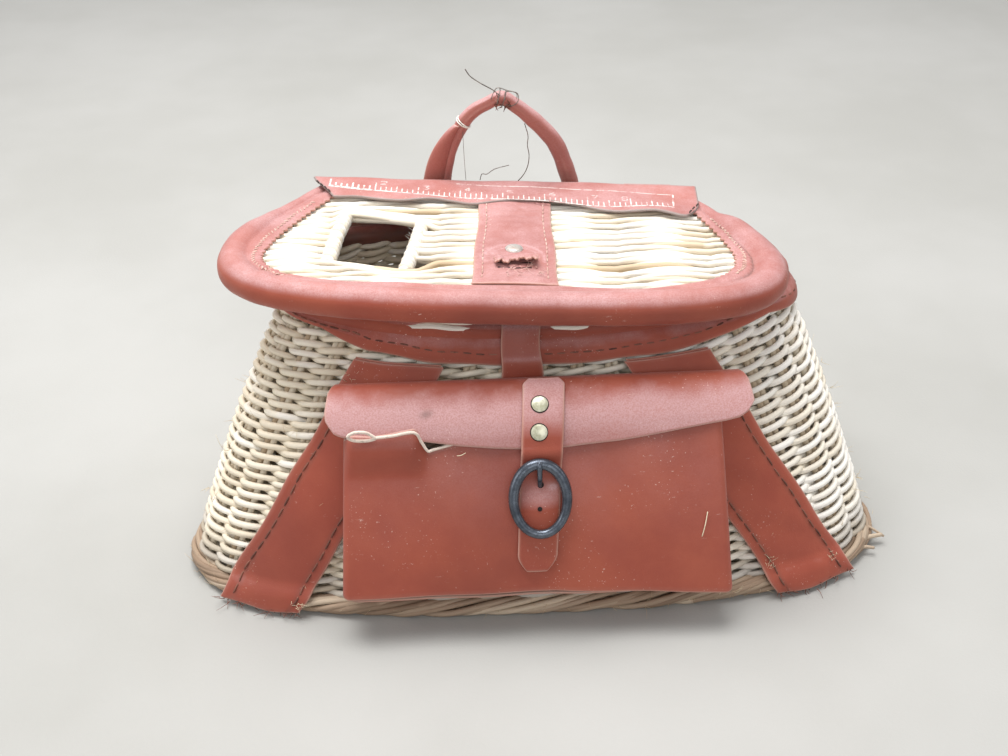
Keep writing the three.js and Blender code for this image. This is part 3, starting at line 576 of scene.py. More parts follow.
def metal_material(name, bright, dull, rust, metallic, rough_low, rough_high):
    n = Nodes(name)
    wear = n.noise(180, 5, 0.7)
    base = n.colour(n.span(wear, 0.35, 0.65), dull, bright)
    base = n.colour(n.span(n.noise(420, 4, 0.7), 0.6, 0.72, 0, 0.6), base, rust)
    rough = n.span(wear, 0.3, 0.7, rough_high, rough_low)
    dents = n.bump(n.noise(300, 3, 0.6), 0.0003, 0.4)
    return n.set(Base_Color=base, Metallic=metallic, Roughness=rough, Normal=dents)


def thread_material(name, dark, pale):
    n = Nodes(name)
    base = n.colour(n.mark("tone"), dark, pale)
    base = n.colour(n.span(n.noise(400, 4, 0.7), 0.5, 0.7, 0, 0.5), base, tuple(c * 0.5 for c in dark))
    twist = n.noise(1, 3, 0.6, n.coords("UV", (900, 3, 1)))
    return n.set(Base_Color=base, Roughness=0.85, Normal=n.bump(twist, 0.0003, 0.7))


def floor_material():
    n = Nodes("floor")
    base = n.colour(n.span(n.noise(3, 4, 0.6), 0.3, 0.7), (0.385, 0.378, 0.352), (0.435, 0.428, 0.405))
    return n.set(Base_Color=base, Roughness=0.9, Normal=n.bump(n.noise(600, 3, 0.6), 0.0004, 0.3))


leather = leather_material()
print_ink = leather_material("printed_leather", printed=True)
wicker = wicker_material("wicker", (0.46, 0.33, 0.2), (0.81, 0.72, 0.57), (0.93, 0.89, 0.82))
# The lid's wicker is the wall's wicker with dimmer middle and pale tones: painted shade that holds back the
# stronger light on the lid's top.
lid_wicker_shaded = wicker_material("lid_wicker_shaded", (0.52, 0.37, 0.21), (0.76, 0.67, 0.53), (0.86, 0.82, 0.75))
cane = wicker_material("cane", (0.12, 0.075, 0.045), (0.36, 0.25, 0.17), (0.62, 0.5, 0.37))
brass = metal_material("brass", (0.72, 0.7, 0.55), (0.42, 0.41, 0.28), (0.2, 0.2, 0.12), 0.4, 0.35, 0.55)
steel = metal_material("steel", (0.13, 0.15, 0.18), (0.06, 0.07, 0.088), (0.04, 0.04, 0.045), 0.7, 0.24, 0.4)
wire_steel = metal_material("wire", (0.3, 0.27, 0.24), (0.13, 0.115, 0.1), (0.16, 0.09, 0.06), 0.6, 0.35, 0.55)
brown_thread = thread_material("brown_thread", (0.075, 0.026, 0.018), (0.3, 0.12, 0.08))
pale_thread = thread_material("pale_thread", (0.45, 0.25, 0.2), (0.72, 0.53, 0.45))
white_thread = thread_material("white_thread", (0.7, 0.64, 0.55), (0.86, 0.82, 0.75))
ruler_leather = leather_material("ruler_leather", cut=RULER_EDGE, bare=0.9)
black_thread = thread_material("black_thread", (0.03, 0.02, 0.018), (0.09, 0.06, 0.05))
straw = wicker_material("straw", (0.35, 0.22, 0.12), (0.6, 0.45, 0.27), (0.8, 0.7, 0.5))
steel_stud = metal_material("stud", (0.66, 0.64, 0.6), (0.4, 0.35, 0.31), (0.4, 0.14, 0.1), 0.7, 0.42, 0.6)
pale_edge = thread_material("pale_edge", (0.6, 0.45, 0.36), (0.85, 0.74, 0.64))
# Near-black for holes and slots: painted shade where only shade is seen.
hole_shade = thread_material("hole_shade", (0.012, 0.008, 0.007), (0.02, 0.012, 0.01))


# Stage, in metres: lights as name, place, width and power

FLOOR_HALF = 3.0
LIGHTS_AIM = (0, 0, 0.08)
LIGHTS = (
    ("key", (-0.2, 0.3, 1.5), 1.1, 36),
    ("front", (0.3, -1.7, 1.1), 1.4, 9.6),
    ("side", (1.5, 0.2, 0.9), 1.0, 5),
    ("left", (-1.5, -0.3, 0.8), 1.0, 7),
)
SKY = (0.93, 0.95, 1, 1), 0.36


def make_camera():
    az, el, roll = (math.radians(a) for a in (CAMERA_AZIMUTH, CAMERA_ELEVATION, CAMERA_ROLL))
    away = Vector((math.sin(az) * math.cos(el), -math.cos(az) * math.cos(el), math.sin(el)))
    place = Vector(CAMERA_TARGET) + away * CAMERA_DISTANCE
    ahead = -away
    right = ahead.cross(Vector((0, 0, 1))).normalized()
    up = right.cross(ahead)
    level = right * math.cos(roll) + up * math.sin(roll)
    upright = -right * math.sin(roll) + up * math.cos(roll)
    data = bpy.data.cameras.new("camera")
    data.sensor_width = SENSOR_MM
    data.lens = SENSOR_MM * FOCAL_PX / IMAGE_WIDTH
    camera = bpy.data.objects.new("camera", data)
    turn = Matrix((level, upright, away)).transposed().to_4x4()
    camera.matrix_world = Matrix.Translation(place * MM) @ turn
    bpy.context.scene.collection.objects.link(camera)
    bpy.context.scene.camera = camera


def make_stage():
    mesh = bpy.data.meshes.new("floor")
    corners = [(x * FLOOR_HALF, y * FLOOR_HALF, 0) for x, y in ((-1, -1), (1, -1), (1, 1), (-1, 1))]
    mesh.from_pydata(corners, [], [(0, 1, 2, 3)])
    floor = bpy.data.objects.new("floor", mesh)
    mesh.materials.append(floor_material())
    bpy.context.scene.collection.objects.link(floor)
    for name, place, width, power in LIGHTS:
        data = bpy.data.lights.new(name, "AREA")
        data.size = width
        data.energy = power
        light = bpy.data.objects.new(name, data)
        light.location = place
        ahead = Vector(LIGHTS_AIM) - Vector(place)
        light.rotation_euler = ahead.to_track_quat("-Z", "Y").to_euler()
        bpy.context.scene.collection.objects.link(light)
    world = bpy.data.worlds.new("studio")
    world.use_nodes = True
    sky = world.node_tree.nodes["Background"].inputs
    sky["Color"].default_value, sky["Strength"].default_value = SKY
    bpy.context.scene.world = world
    bpy.context.scene.view_settings.view_transform = "Standard"


# Basket

def strand_tones(strands, count, low, high, pieces=4):
    """Each strand is pieced from a few rods, so its tone steps a few times along it."""
    tones = np.zeros((strands, count))
    for k in range(strands):
        cuts = np.sort(rng.integers(0, count, pieces))
        tones[k] = rng.uniform(low, high)
        for a, b in zip(cuts[:-1], cuts[1:]):
            tones[k, a:b] = rng.uniform(low, high)
    return tones


def build_wall():
    weave = Piece()
    share = np.arange(STAKES * 6) / (STAKES * 6)
    turn = math.pi * STAKES * share
    low, high = 2 * BORDER_RADIUS + 1.5, BAND_FOOT + 10
    swing, rise = STRAND + STAKE, STRAND * 0.62
    rows = np.repeat(np.linspace(low, high, WALL_ROWS), 2)
    paths = []
    for k, z in enumerate(rows):
        phase = turn + math.pi * (k % 2)
        inout = np.sign(np.cos(phase)) * np.abs(np.cos(phase)) ** 0.8
        out = swing * (inout - 1) - STRAND + wobble(share, 0.5)
        climb = 0.4 * np.sin(phase) + 0.6 * np.arcsin(np.sin(phase)) * 2 / math.pi
        level = z + rise * climb + wobble(share, 0.7, (3, 7, 13))
        paths.append(on_wall(share, level, out))
    uneven = rng.uniform(-0.12, 0.1, (len(rows), 1))
    thick = STRAND * (1 + uneven + np.stack([wobble(share, 0.1) for _ in rows]))
    tones = strand_tones(len(rows), len(share), 0.5, 1.0, 7)
    # Right side paler and left side darker by tone: painted light and shade.
    painted_side_light = 0.16 * np.sin(2 * math.pi * share)[None]
    normal = wall_normal(share[None], rows[:, None])
    # Darker toward the wall's foot: painted shadow between the base border and the pocket and braces.
    foot = (1 - ease(rows, low, low + 16))[:, None] * 0.5
    tube(weave, np.stack(paths), thick, 8, True, normal, tone=np.clip(tones + painted_side_light, 0, 1), dirt=foot)
    weave.make("wall_weave", wicker, "basket", ["basket_wall"])

    stakes = Piece()
    height = np.linspace(2 * BORDER_RADIUS - 3, RIM_MIDDLE, 26)
    paths = []
    girth = 1.0 / np.linalg.norm(np.diff(outline(70)[:2], axis=0)) / FACE_POINTS
    for k in range(STAKES):
        for beside in (-1, 1):
            at = k / STAKES + beside * (STAKE + 0.15) * girth + wobble(height / RIM_TOP, 0.0006, (0.5, 1.2))
            paths.append(on_wall(at, height, -STRAND * 2 - STAKE + wobble(height / RIM_TOP, 0.3, (1, 2))))
    tones = rng.uniform(0.1, 0.6, (len(paths), 1))
    tube(stakes, np.stack(paths), STAKE, 7, toward=(0.3, 0.9, 0.2), tone=tones, dirt=0.12)
    stakes.make("wall_stakes", wicker, "basket")


def build_floor():
    floor = Piece()
    edge = outline(0, -2 * BORDER_RADIUS)
    for y in np.arange(-80, 82, FLOOR_PITCH):
        ends = edge[np.abs(edge[:, 1] - y) < 2.5, 0]
        x = np.linspace(ends[ends < 0].min(), ends[ends > 0].max(), 130)
        for weaver in (0, 1):
            phase = math.pi * x / FLOOR_STICK_PITCH + math.pi * weaver
            path = vec(x, y + STRAND * 0.8 * np.sin(phase), FLOOR_MIDDLE + 1.9 * np.cos(phase))
            tube(floor, path, STRAND, 6, tone=rng.uniform(0.2, 0.7), dirt=0.15)
    for x in np.arange(-176, 177, FLOOR_STICK_PITCH):
        ends = edge[np.abs(edge[:, 0] - x) < 3, 1]
        tube(floor, vec(x, np.linspace(ends.min(), ends.max(), 20), FLOOR_MIDDLE), 1.8, 7, tone=0.25)
    floor.make("floor_weave", wicker, "basket", ["basket_floor"])


def build_border():
    border = Piece()
    count = 560
    middle = np.insert(outline(0, -BORDER_RADIUS, count), 2, BORDER_RADIUS, axis=1)
    along = unit(np.roll(middle, -1, 0) - np.roll(middle, 1, 0))
    side = unit(np.cross(along, (0, 0, 1)))
    share = np.arange(count) / count
    for bundle in range(3):
        for lag in (-0.5, 0, 0.5):
            turn = 2 * math.pi * (BORDER_TWISTS * share + bundle / 3) + lag + wobble(share, 0.25)
            far = 3.7 + wobble(share, 1.5, (7, 13, 19))
            path = middle + side * (far * np.cos(turn))[:, None]
            path[:, 2] += np.maximum(far * 0.95 * np.sin(turn), -3.4) - 0.2
            tone = strand_tones(1, count, 0.25, 1.0, 8)
            tube(border, path, 1.75 + wobble(share, 0.15), 8, True, tone=tone, dirt=0.08)
    border.make("base_border_canes", cane, "basket", ["base_border"])


def fuzz(piece, places, out, length, radius, count, spread, tone=(0.4, 1.0)):
    """Loose fibres that stand off some places."""
    pick = rng.integers(0, len(places), count)
    start = places[pick] + rng.normal(0, spread, (count, 3))
    lean = unit(np.broadcast_to(out, places.shape)[pick] + rng.normal(0, 0.8, (count, 3)))
    bend = unit(rng.normal(0, 1, (count, 3)))
    share = np.linspace(0, 1, 6)[:, None]
    reach = (length * rng.uniform(0.4, 1.2, count))[:, None, None]
    path = start[:, None] + lean[:, None] * share * reach + bend[:, None] * share ** 2 * reach * 0.6
    path[..., 2] = np.maximum(path[..., 2], radius)
    thin = radius * (1 - 0.7 * share[:, 0])
    tube(piece, path, thin, 4, toward=(0.3, 0.5, 0.8), tone=rng.uniform(*tone, (count, 1)))


def rim_foot(share):
    """Lower edge of the rim's leather: it rides up at the basket's left front."""
    return table(share % 1, (0, 127.2), (0.08, 127.7), (0.12, 129), (0.155, 131.5), (0.185, 133),
                 (0.24, 127.5), (0.68, 128), (0.74, 138), (0.8, 138.5), (0.826, 137), (0.851, 133.5),
                 (0.87, 130.5), (0.9, 129.2), (0.92, 128), (0.966, 127), (1, 127.2))


def build_rim():
    rim = Piece()
    count = FACE_POINTS
    share = np.arange(count) / count
    foot = np.minimum(rim_foot(share) + wobble(share, 0.8, (5, 11, 17)), RIM_MIDDLE - 5.5)
    bulge = wobble(share, 0.5, (9, 23, 41))
    centre = np.insert(outline(RIM_MIDDLE, -2.5), 2, RIM_MIDDLE, axis=1)
    out = unit(wall_normal(share, RIM_MIDDLE) * (1, 1, 0))
    rows = []
    for t in np.linspace(0, 1, 7):
        ridge = 1.5 + 1.1 * math.sin(math.pi * t) + 0.8 * t + bulge * t
        rows.append(on_wall(share, mix(foot, RIM_MIDDLE - 4.5, t), ridge))
    for a in np.radians(np.arange(-15, 236, 12.5)):
        rows.append(centre + out * (5.3 * math.cos(a)) + (0, 0, 5.3 * math.sin(a)))
    # The inward-facing part of the roll is darkened: painted shade.
    sheet(rim, surface(np.stack(rows, axis=1), True), count, 30, 1.6, True,
          dirt=lambda u, v: 0.85 * ease(v, 0.62, 0.74), dust=-0.35)
    rim.make("rim_leather", leather, "basket", ["rim_roll", "rim_band"])

    seam = Piece()
    at = np.arange(1441) / 1441
    z = np.minimum(rim_foot(at) + 5.2 + wobble(at, 0.8, (5, 11, 23)), RIM_MIDDLE - 4.5)
    line = on_wall(at, z, 3.3 + np.interp(at * count, np.arange(count), bulge * 0.35))
    stitches(seam, line, wall_normal(at, z), 5.6, 1.2, 0.5)

    bare = Piece()
    for start, end, low in ((0.872, 0.968, 143.6), (0.878, 0.96, 146.4),
                            (-0.006, 0.05, 143.8), (0.0, 0.046, 146.2)):
        pick = np.linspace(start, end, 90)
        arch = np.sin(math.pi * np.linspace(0, 1, 90)) ** 0.5
        height = low + wobble(pick, 0.6, (17, 31))
        path = on_wall(pick, height, -2.0 + 5.0 * arch)
        tube(bare, path, 1.8, 8, tone=rng.uniform(0.6, 0.9))
    bare.make("rim_bare_wicker", wicker, "basket")
    seam.make("rim_stitches", brown_thread, "basket")


def brace_grid(side, lift=0.0, low=0.0, width=BRACE_WIDTH, count=40):
    t, v = axes(count, 16, (low, 1), (1, 0))
    z = mix(3.3, BAND_FOOT - 0.3, t) + np.where(t < 0.03, 0.6, 0.0) * np.sin(v * 9 + side)
    x = side * mix(BRACE_FOOT_X, BRACE_TOP_X, t) + (v - 0.5) * (width + 1.2 * np.sin(t * 17 + side))
    over = (0.3 + BORDER_RADIUS * 0.65) * (1 - ease(z, 11.3, 11.3 + BORDER_RADIUS))
    puff = 0.7 * np.sin(t * 9 + v * 3 + side) * np.sin(math.pi * v) + 0.5 * np.sin(t * 31 + v * 7)
    out = (0.3 + 0.9) / FRONT_LEAN + over + lift + puff * 0.5 + 0.6 * np.sin(math.pi * v)
    return vec(x, front_y(x, z, out), np.maximum(z, 1.2))


def seam_groove_shade(u, v):
    # Painted shade along the brace's stitch grooves.
    return 0.55 * np.exp(-((np.minimum(v, 1 - v) * BRACE_WIDTH - BRACE_SEAM) / 0.9) ** 2)


def build_braces():
    for name, side in (("left", -1), ("right", 1)):
        brace = Piece()
        at = surface(brace_grid(side))
        sheet(brace, at, 60, 22, grooves=(BRACE_SEAM,), dust=-0.8, dirt=seam_groove_shade)
        layer = brace_grid(side, 2.2, 0.86, BRACE_WIDTH + 2, 14)
        sheet(brace, surface(layer), 14, 20, 1.5, dust=-0.6)
        brace.make(f"brace_{name}_leather", leather, "basket", [f"brace_{name}"])
        seam = Piece()
        u = np.linspace(0.03, 0.98, 240)
        for seam_v in (BRACE_SEAM / BRACE_WIDTH, 1 - BRACE_SEAM / BRACE_WIDTH):
            v = np.full(u.shape, seam_v)
            along, across = at(u + 0.004, v) - at(u - 0.004, v), at(u, v + 0.02) - at(u, v - 0.02)
            normal = unit(np.cross(along, across))
            line = at(u, v) + normal * THREAD_LIFT + vec(wobble(u, 0.5, (2, 5)), 0, 0)
            stitches(seam, line, normal, 6.4, 0.9, 0.52)
        ends = at(np.zeros(60), np.linspace(0, 1, 60))
        fuzz(seam, ends, (side * 0.2, -0.9, 0.2), 6, 0.25, 30, 0.7, (0.3, 0.9))
        seam.make(f"brace_{name}_stitches", brown_thread, "basket")


def build_closure():
    reach = RIM_RADIUS + 0.6 + LEATHER / 2
    rim_y = front_y(CLOSURE_X, RIM_MIDDLE, -2.5)
    profile = []
    for degrees in (125, 100, 80, 50, 20):
        a = math.radians(degrees)
        profile.append((rim_y - math.cos(a) * reach, RIM_MIDDLE + math.sin(a) * reach))
    on_band = (0.3 + 1) / FRONT_LEAN + 2.3 / FRONT_LEAN + 1.2
    for z in (RIM_MIDDLE - RIM_RADIUS - 2, BAND_FOOT + 2):
        profile.append((front_y(CLOSURE_X, z, on_band), z))
    profile.append((front_y(CLOSURE_X, 121, 1.6), 121))
    line = spline(np.array(profile), 40)
    t, v = axes(40, 9)
    x = CLOSURE_X + (v - 0.5) * (CLOSURE_WIDTH - 1.2 * np.sin(t * 4)) + 0.4 * np.sin(t * 9)
    strap = Piece()
    sheet(strap, surface(vec(x, line[:, :1] - 0.35 * np.sin(math.pi * v), line[:, 1:])), 40, 12, 1.7)
    strap.make("closure_strap_leather", leather, "basket", ["closure_strap"])


# Pocket

POCKET_X = -2
POCKET_WIDTH = 206
POCKET_TOP_WIDTH = 196
POCKET_DEPTH = 21
POCKET_FOOT = 25
POCKET_HEIGHT = 82
POCKET_CORNER = 4.5
POCKET_TOP = POCKET_FOOT + POCKET_HEIGHT
FLAP_ROOT = 123
FLAP_LAP = 9
FLAP_X = 1.8
FLAP_WIDTH = 222
TAB_WIDTH = 22
TAB_X = 4.3
TAB_LEAN = 7
TAB_FOOT = 41
RING_HEIGHT = 77


def pocket_face(z):
    return front_y(POCKET_X, z) - POCKET_DEPTH


def pocket_grid():
    """Shell of the pocket: u from its left back edge round the front to the right one, v upwards."""
    v = np.linspace(0, 1, 60)
    columns = []
    turns = [np.linspace(k, k + 1, 120 if k == 2 else 9)[:-1] for k in range(5)]
    for s in np.concatenate([*turns, [5]]):
        share = np.clip(s - 2, 0, 1)
        x_front = mix(-1, 1, share) * (POCKET_TOP_WIDTH / 2 - POCKET_CORNER)
        out = table(x_front, (-94, 3.8), (-84, 4.8), (-62, 4.8), (-59, 3.0), (-55, 0.3), (-52, 0))
        top = table(x_front, (-94, 3.0), (-83, 2.6), (-75, 3.4), (-61.8, 5.6), (-60.8, 5.2), (-55.4, -6.6),
                    (-53.5, -7), (-46, -5.2), (-37, -3), (-30, -1.5), (60, -1.5), (74, 4), (94, 4))
        if s < 2:
            turned = max(s - 1, 0)
            out, top = out * turned, mix(-3, top, turned)
        foot = table(s, (2, 2.4), (2.37, 3.2), (2.55, 3.2), (2.8, 0.8), (3, -1.6))
        z = mix(POCKET_FOOT + foot, POCKET_TOP + top, v)
        half = mix(POCKET_WIDTH, POCKET_TOP_WIDTH, (z - POCKET_FOOT) / POCKET_HEIGHT) / 2 - 0.9
        front = pocket_face(z) + 0.9
        radius = POCKET_CORNER - 0.9
        near = ease(z, POCKET_TOP - 20, POCKET_TOP - 3)
        belly = 1.4 * np.sin(math.pi * v) + 0.5 * np.sin(7 * share * math.pi + 3 * v)
        if s < 1 or s > 4:
            t = s if s < 1 else 5 - s
            back = front_y(POCKET_X + half, z, 2.8)
            y = mix(back, front + radius, t)
            x = half
        elif s < 2 or s > 3:
            t = (s - 1 if s < 2 else 4 - s) * math.pi / 2
            x = half - radius + radius * math.cos(t)
            y = front + radius - radius * math.sin(t) - out * near
        else:
            x = np.abs(mix(-1, 1, share)) * (half - radius)
            y = front - out * near - belly * math.sin(math.pi * share) ** 0.6
        sign = -1 if s < 2.5 else 1
        columns.append(vec(POCKET_X + sign * x, y, z))
    return np.stack(columns)


def flap_line():
    off = (0.3 + 1) / FRONT_LEAN
    root = front_y(POCKET_X, FLAP_ROOT, 1.431 + 2.3 / FRONT_LEAN)
    face = pocket_face(POCKET_TOP)
    points = []
    for forward, up in ((0, 1), (0.25, 1.07), (0.6, 0.82), (0.88, 0.46)):
        points.append((mix(root, face, forward), mix(POCKET_TOP, FLAP_ROOT, up)))
    points.append((face - off, POCKET_TOP + off))
    for lap in (FLAP_LAP / 2, FLAP_LAP):
        points.append((pocket_face(POCKET_TOP - lap) - off - 0.9, POCKET_TOP - lap))
    return spline(np.array(points), 200)


FLAP_LINE = flap_line()


def tab_line():
    path = []
    along = unit(np.gradient(FLAP_LINE, axis=0))
    for share in np.linspace(0.14, 1, 9):
        i = int(round(share * 199))
        path.append(FLAP_LINE[i] + np.array([along[i, 1], -along[i, 0]]) * 3.0)
    for k, z in enumerate(np.linspace(path[-1][1] - 7, TAB_FOOT, 6)):
        path.append(np.array([pocket_face(z) - 1.9 - (0.9 if k else 0.8), z]))
    return spline(np.array(path), 120)


TAB_LINE = tab_line()


def flap_smear(u, v):
    """Small dark smear on the flap, left of its tab."""
    return 0.6 * np.exp(-((u - 0.235 - 0.1 * (v - 0.4)) / 0.012) ** 2 - ((v - 0.4) / 0.06) ** 2)


def build_pocket():
    body = Piece()
    grid = pocket_grid()
    sheet(body, surface(grid), 170, 40)
    middle = np.array([POCKET_X, front_y(POCKET_X, POCKET_FOOT) - 6, POCKET_FOOT + 0.4])
    inward = np.stack([mix(grid[:, 0], middle, t) for t in np.linspace(0.03, 1, 6)], axis=1)
    inward[..., 2] = POCKET_FOOT + 0.9
    sheet(body, surface(inward[:, ::-1]), 80, 8, 1.6)
    body.make("pocket_leather", leather, "basket", ["pocket_body"])

    rims = Piece()
    for points, thick in (
        (((-96.5, 111.8), (-93, 113.4), (-88, 113.2), (-84, 110.6), (-83.2, 109.2), (-88, 108),
          (-94, 108.4), (-97, 110.2), (-96.5, 111.8)), 0.85),
        (((-84.5, 109.6), (-75, 110.6), (-63.4, 112.4), (-60, 106), (-57, 100.4), (-54.5, 100.2),
          (-46, 102), (-37, 104)), 0.8),
    ):
        x, z = spline(points, 90).T
        out = table(x, (-97, 4.8), (-62, 5.6), (-57, 1.6), (-54, 0.8))
        y = pocket_face(np.minimum(z, POCKET_TOP)) - out
        tube(rims, vec(x, y, z + 0.7), thick, 8, tone=0.7)
    rims.make("pocket_cut_edge", pale_edge, "basket")

    flap = Piece()
    side, v = axes(90, 60, (-1, 1), (1, 0))
    reach = table(side, (-1, 0.53), (-0.985, 0.64), (-0.95, 0.7), (-0.925, 0.72), (-0.85, 0.75), (-0.7, 0.781),
                  (-0.62, 0.795), (-0.55, 0.816), (-0.4, 0.885), (-0.25, 0.919), (-0.1, 0.942), (0.12, 0.951),
                  (0.25, 0.917), (0.38, 0.885), (0.5, 0.844), (0.6, 0.807), (0.75, 0.746), (0.85, 0.703),
                  (0.94, 0.634), (0.98, 0.559), (1, 0.46))
    along = v * reach
    half = FLAP_WIDTH / 2 * table(along, (0, 0.955), (0.2, 0.985), (0.45, 1), (0.75, 0.985), (1, 0.93))
    y, z = np.moveaxis(between(along, np.linspace(0, 1, 200), FLAP_LINE), -1, 0)
    sag = 1.2 * np.sin(side * 5 + 1) * np.sin(math.pi * along) + 0.6 * np.sin(side * 11) * along
    curl = 3.5 * ease(np.abs(side), 0.8, 1.0) * ease(along, 0.25, 0.8)
    grid = vec(FLAP_X + side * half, y - curl * 0.2, z + sag * 0.6 - curl * 0.5)
    # Pale pink toward the flap's lower edge, taken away near its root: painted sheen of light from the front
    # and above, with some dust.
    sheet(flap, surface(grid), 100, 50, 1.9, dirt=flap_smear,
          dust=lambda u, v: mix(0.62, -0.75, ease(v, 0.25, 0.85)))
    flap.make("pocket_flap_leather", leather, "basket", ["pocket_flap"])

    tab = Piece()
    t, v = axes(120, 15, (0, 1), (-1, 1))
    y, z = TAB_LINE[:, :1], TAB_LINE[:, 1:]
    reach = reach_along(TAB_LINE)[-1]
    tail = 0.5 + 0.5 * np.sin(math.pi / 2 * np.clip((1 - t) * reach / 9.5, 0, 1))
    head = np.clip(0.72 + t * reach / 14, 0, 1)
    across = TAB_WIDTH / 2 * np.minimum(tail, head) * mix(1, 0.94, t)
    pillow = 1.9 * np.exp(-((z - 73) / 9) ** 2) * (1 - v ** 2) + 0.35 * (1 - v ** 2)
    grid = vec(TAB_X - TAB_LEAN * t + v * across, y - pillow, z)
    sheet(tab, surface(grid), 120, 24, 2, dust=tab_rub_and_highlight)
    tab.make("pocket_tab_leather", leather, "basket", ["pocket_tab"])


def tab_rub_and_highlight(u, v):
    """Rubbed pink at the rivets, a painted highlight on the bulge inside the ring, and a pale scratch there."""
    # Painted highlight on the bulge of the tab inside the ring.
    bulge = 0.65 * np.exp(-((u - 0.61) / 0.07) ** 2)
    scratch = 1.2 * np.exp(-((u - 0.565) / 0.014) ** 2 - ((v - 0.8) / 0.1) ** 2)
    return -0.3 + 0.4 * (1 - ease(u, 0.2, 0.4)) + bulge + scratch


def tab_place(z):
    """Middle of the tab's outer face at a height, with its outward and its upward direction."""
    i = int(np.argmin(np.abs(TAB_LINE[:, 1] - z)))
    along = unit(TAB_LINE[min(i + 1, 119)] - TAB_LINE[i - 1])
    out = np.array([0, along[1], -along[0]])
    place = np.array([TAB_X - TAB_LEAN * i / 119, *TAB_LINE[i]]) + out * 1.3
    return place, out, np.array([0, -along[0], -along[1]])


def dome(piece, place, out, radius, height):
    """Rounded button on a place, with a small lip."""
    side = unit(np.cross(out, (0.1, 0.2, 1)))
    turn = circle(28)
    ring = np.outer(np.cos(turn), side) + np.outer(np.sin(turn), np.cross(side, out))
    profile = [(1.0, 0.0), (1.03, 0.3), (0.98, 0.45), (0.93, 0.4)]
    profile += [(0.92 * math.cos(a), 0.42 + 0.58 * math.sin(a)) for a in np.linspace(0, math.pi / 2, 9)]
    rows = np.array([place + out * h * height + radius * r * ring for r, h in profile])
    quads = quad_grid(len(profile), 28, False, True)[0][:, FLIP]
    piece.add(rows, [quads, np.arange(28)[None, ::-1]], np.zeros((len(quads) * 4 + 28, 2)))


def build_fittings():
    hole_shadows = Piece()
    for name, z in (("rivet_upper", FLAP_ROOT - 2.7), ("rivet_lower", FLAP_ROOT - 13.5)):
        rivet = Piece()
        place, out, _ = tab_place(z)
        place = place - (1.9, 0, 0)
        dome(rivet, place, out, 4.1, 0.9)
        # A dark rim just under the rivet: painted shadow round its cap.
        dome(hole_shadows, place - out * 0.2, out, 4.6, 0.5)
        rivet.make(f"{name}_cap", brass, "basket", [name])
    # Dark discs in the tab's holes: painted shade.
    for z, size, lift in ((95.5, 1.3, 0.1), (83.6, 1.6, 0.6), (72.5, 1.2, 1.95)):
        place, out, _ = tab_place(z)
        dome(hole_shadows, place + out * lift, out, size, 0.35)
    hole_shadows.make("tab_hole_shadows", hole_shade, "basket")

    place, out, up = tab_place(RING_HEIGHT)
    turn = circle(72)
    ring = Piece()
    path = place + np.outer(np.cos(turn), (13.8, 0, 0)) + np.outer(np.sin(turn) * 18.5, up) + out * 2.7
    tube(ring, path, 2.65 + 0.3 * np.sin(turn), 16, True, out)
    ring.make("buckle_ring_wire", steel, "basket", ["buckle_ring"])
    prong = Piece()
    line = spline([place + up * above + out * off
                   for above, off in ((19.5, 4.8), (17.5, 5.6), (13, 4.4), (9, 2.6), (6.5, 0.4))], 24)
    tube(prong, line, 1.35 * np.linspace(1.1, 0.85, 24), 12)
    prong.make("buckle_prong_pin", steel, "basket", ["buckle_prong"])


# Handle

HANDLE_Y = 106.6


def handle_line(count):
    """Middle of the handle, as it stands in the photo: straight arms to a sharp break at the top."""
    seen = ((-47.5, 118), (-46.5, 145), (-44.5, 160), (-43.5, 168.7), (-41.2, 180.3), (-38.5, 189.8),
            (-34.6, 199.1), (-30.3, 206.4), (-24.3, 212), (-17.2, 215.6), (-12.6, 218.2), (-9.8, 219.2),
            (-6.6, 217.6), (-3.3, 215), (2.5, 210.5), (10.4, 203.1), (16.4, 196.6), (20.9, 190.8),
            (24.2, 184.3), (26.6, 177.8), (29.1, 169.9), (30.9, 163.3), (32, 150), (32.5, 118))
    return spline([(x, HANDLE_Y - (1 if z > 150 else 3 - (z - 118) / 16), z) for x, z in seen], count)


def roll_of_leather(piece, path, radius, seam_turn, ragged):
    """Rolled strap: a round section with a sunk seam along it, ragged at the end named."""
    sides, count = 20, len(path)
    along = unit(np.gradient(path, axis=0))
    side = unit(np.cross(along, (0, 1, 0)))
    up = np.cross(side, along)
    turn = circle(sides)
    share = np.linspace(0, 1, count)[:, None]
    size = np.reshape(radius, (-1, 1)) * (1 + 0.015 * np.sin(share * 37) + 0.015 * np.sin(share * 61 + 1))
    gap = np.angle(np.exp(1j * (turn - seam_turn - 0.3 * np.sin(share * 5))))
    size = size * (1 - 0.2 * np.exp(-(gap / 0.22) ** 2))
    ring = side[:, None] * np.cos(turn)[:, None] + up[:, None] * np.sin(turn)[:, None]
    points = path[:, None] + size[..., None] * ring
    points[ragged] += along[ragged] * rng.normal(0, 1.1, (sides, 1))
    quads, i, j = quad_grid(count, sides, False, True)
    uv = np.stack([(reach_along(path) * MM)[i], j / sides * 0.03], -1).reshape(-1, 2)
    edge = np.zeros((count, sides))
    edge[[0, -1]] = 0.8
    edge = np.maximum(edge, 0.3 * np.exp(-((np.abs(gap) - 0.28) / 0.1) ** 2))
    index = np.arange(count * sides).reshape(count, sides)
    piece.add(points, [quads, index[:1], index[-1:, ::-1]], np.vstack([uv, np.zeros((2 * sides, 2))]),
              edge=edge.ravel(), dust=0.3)


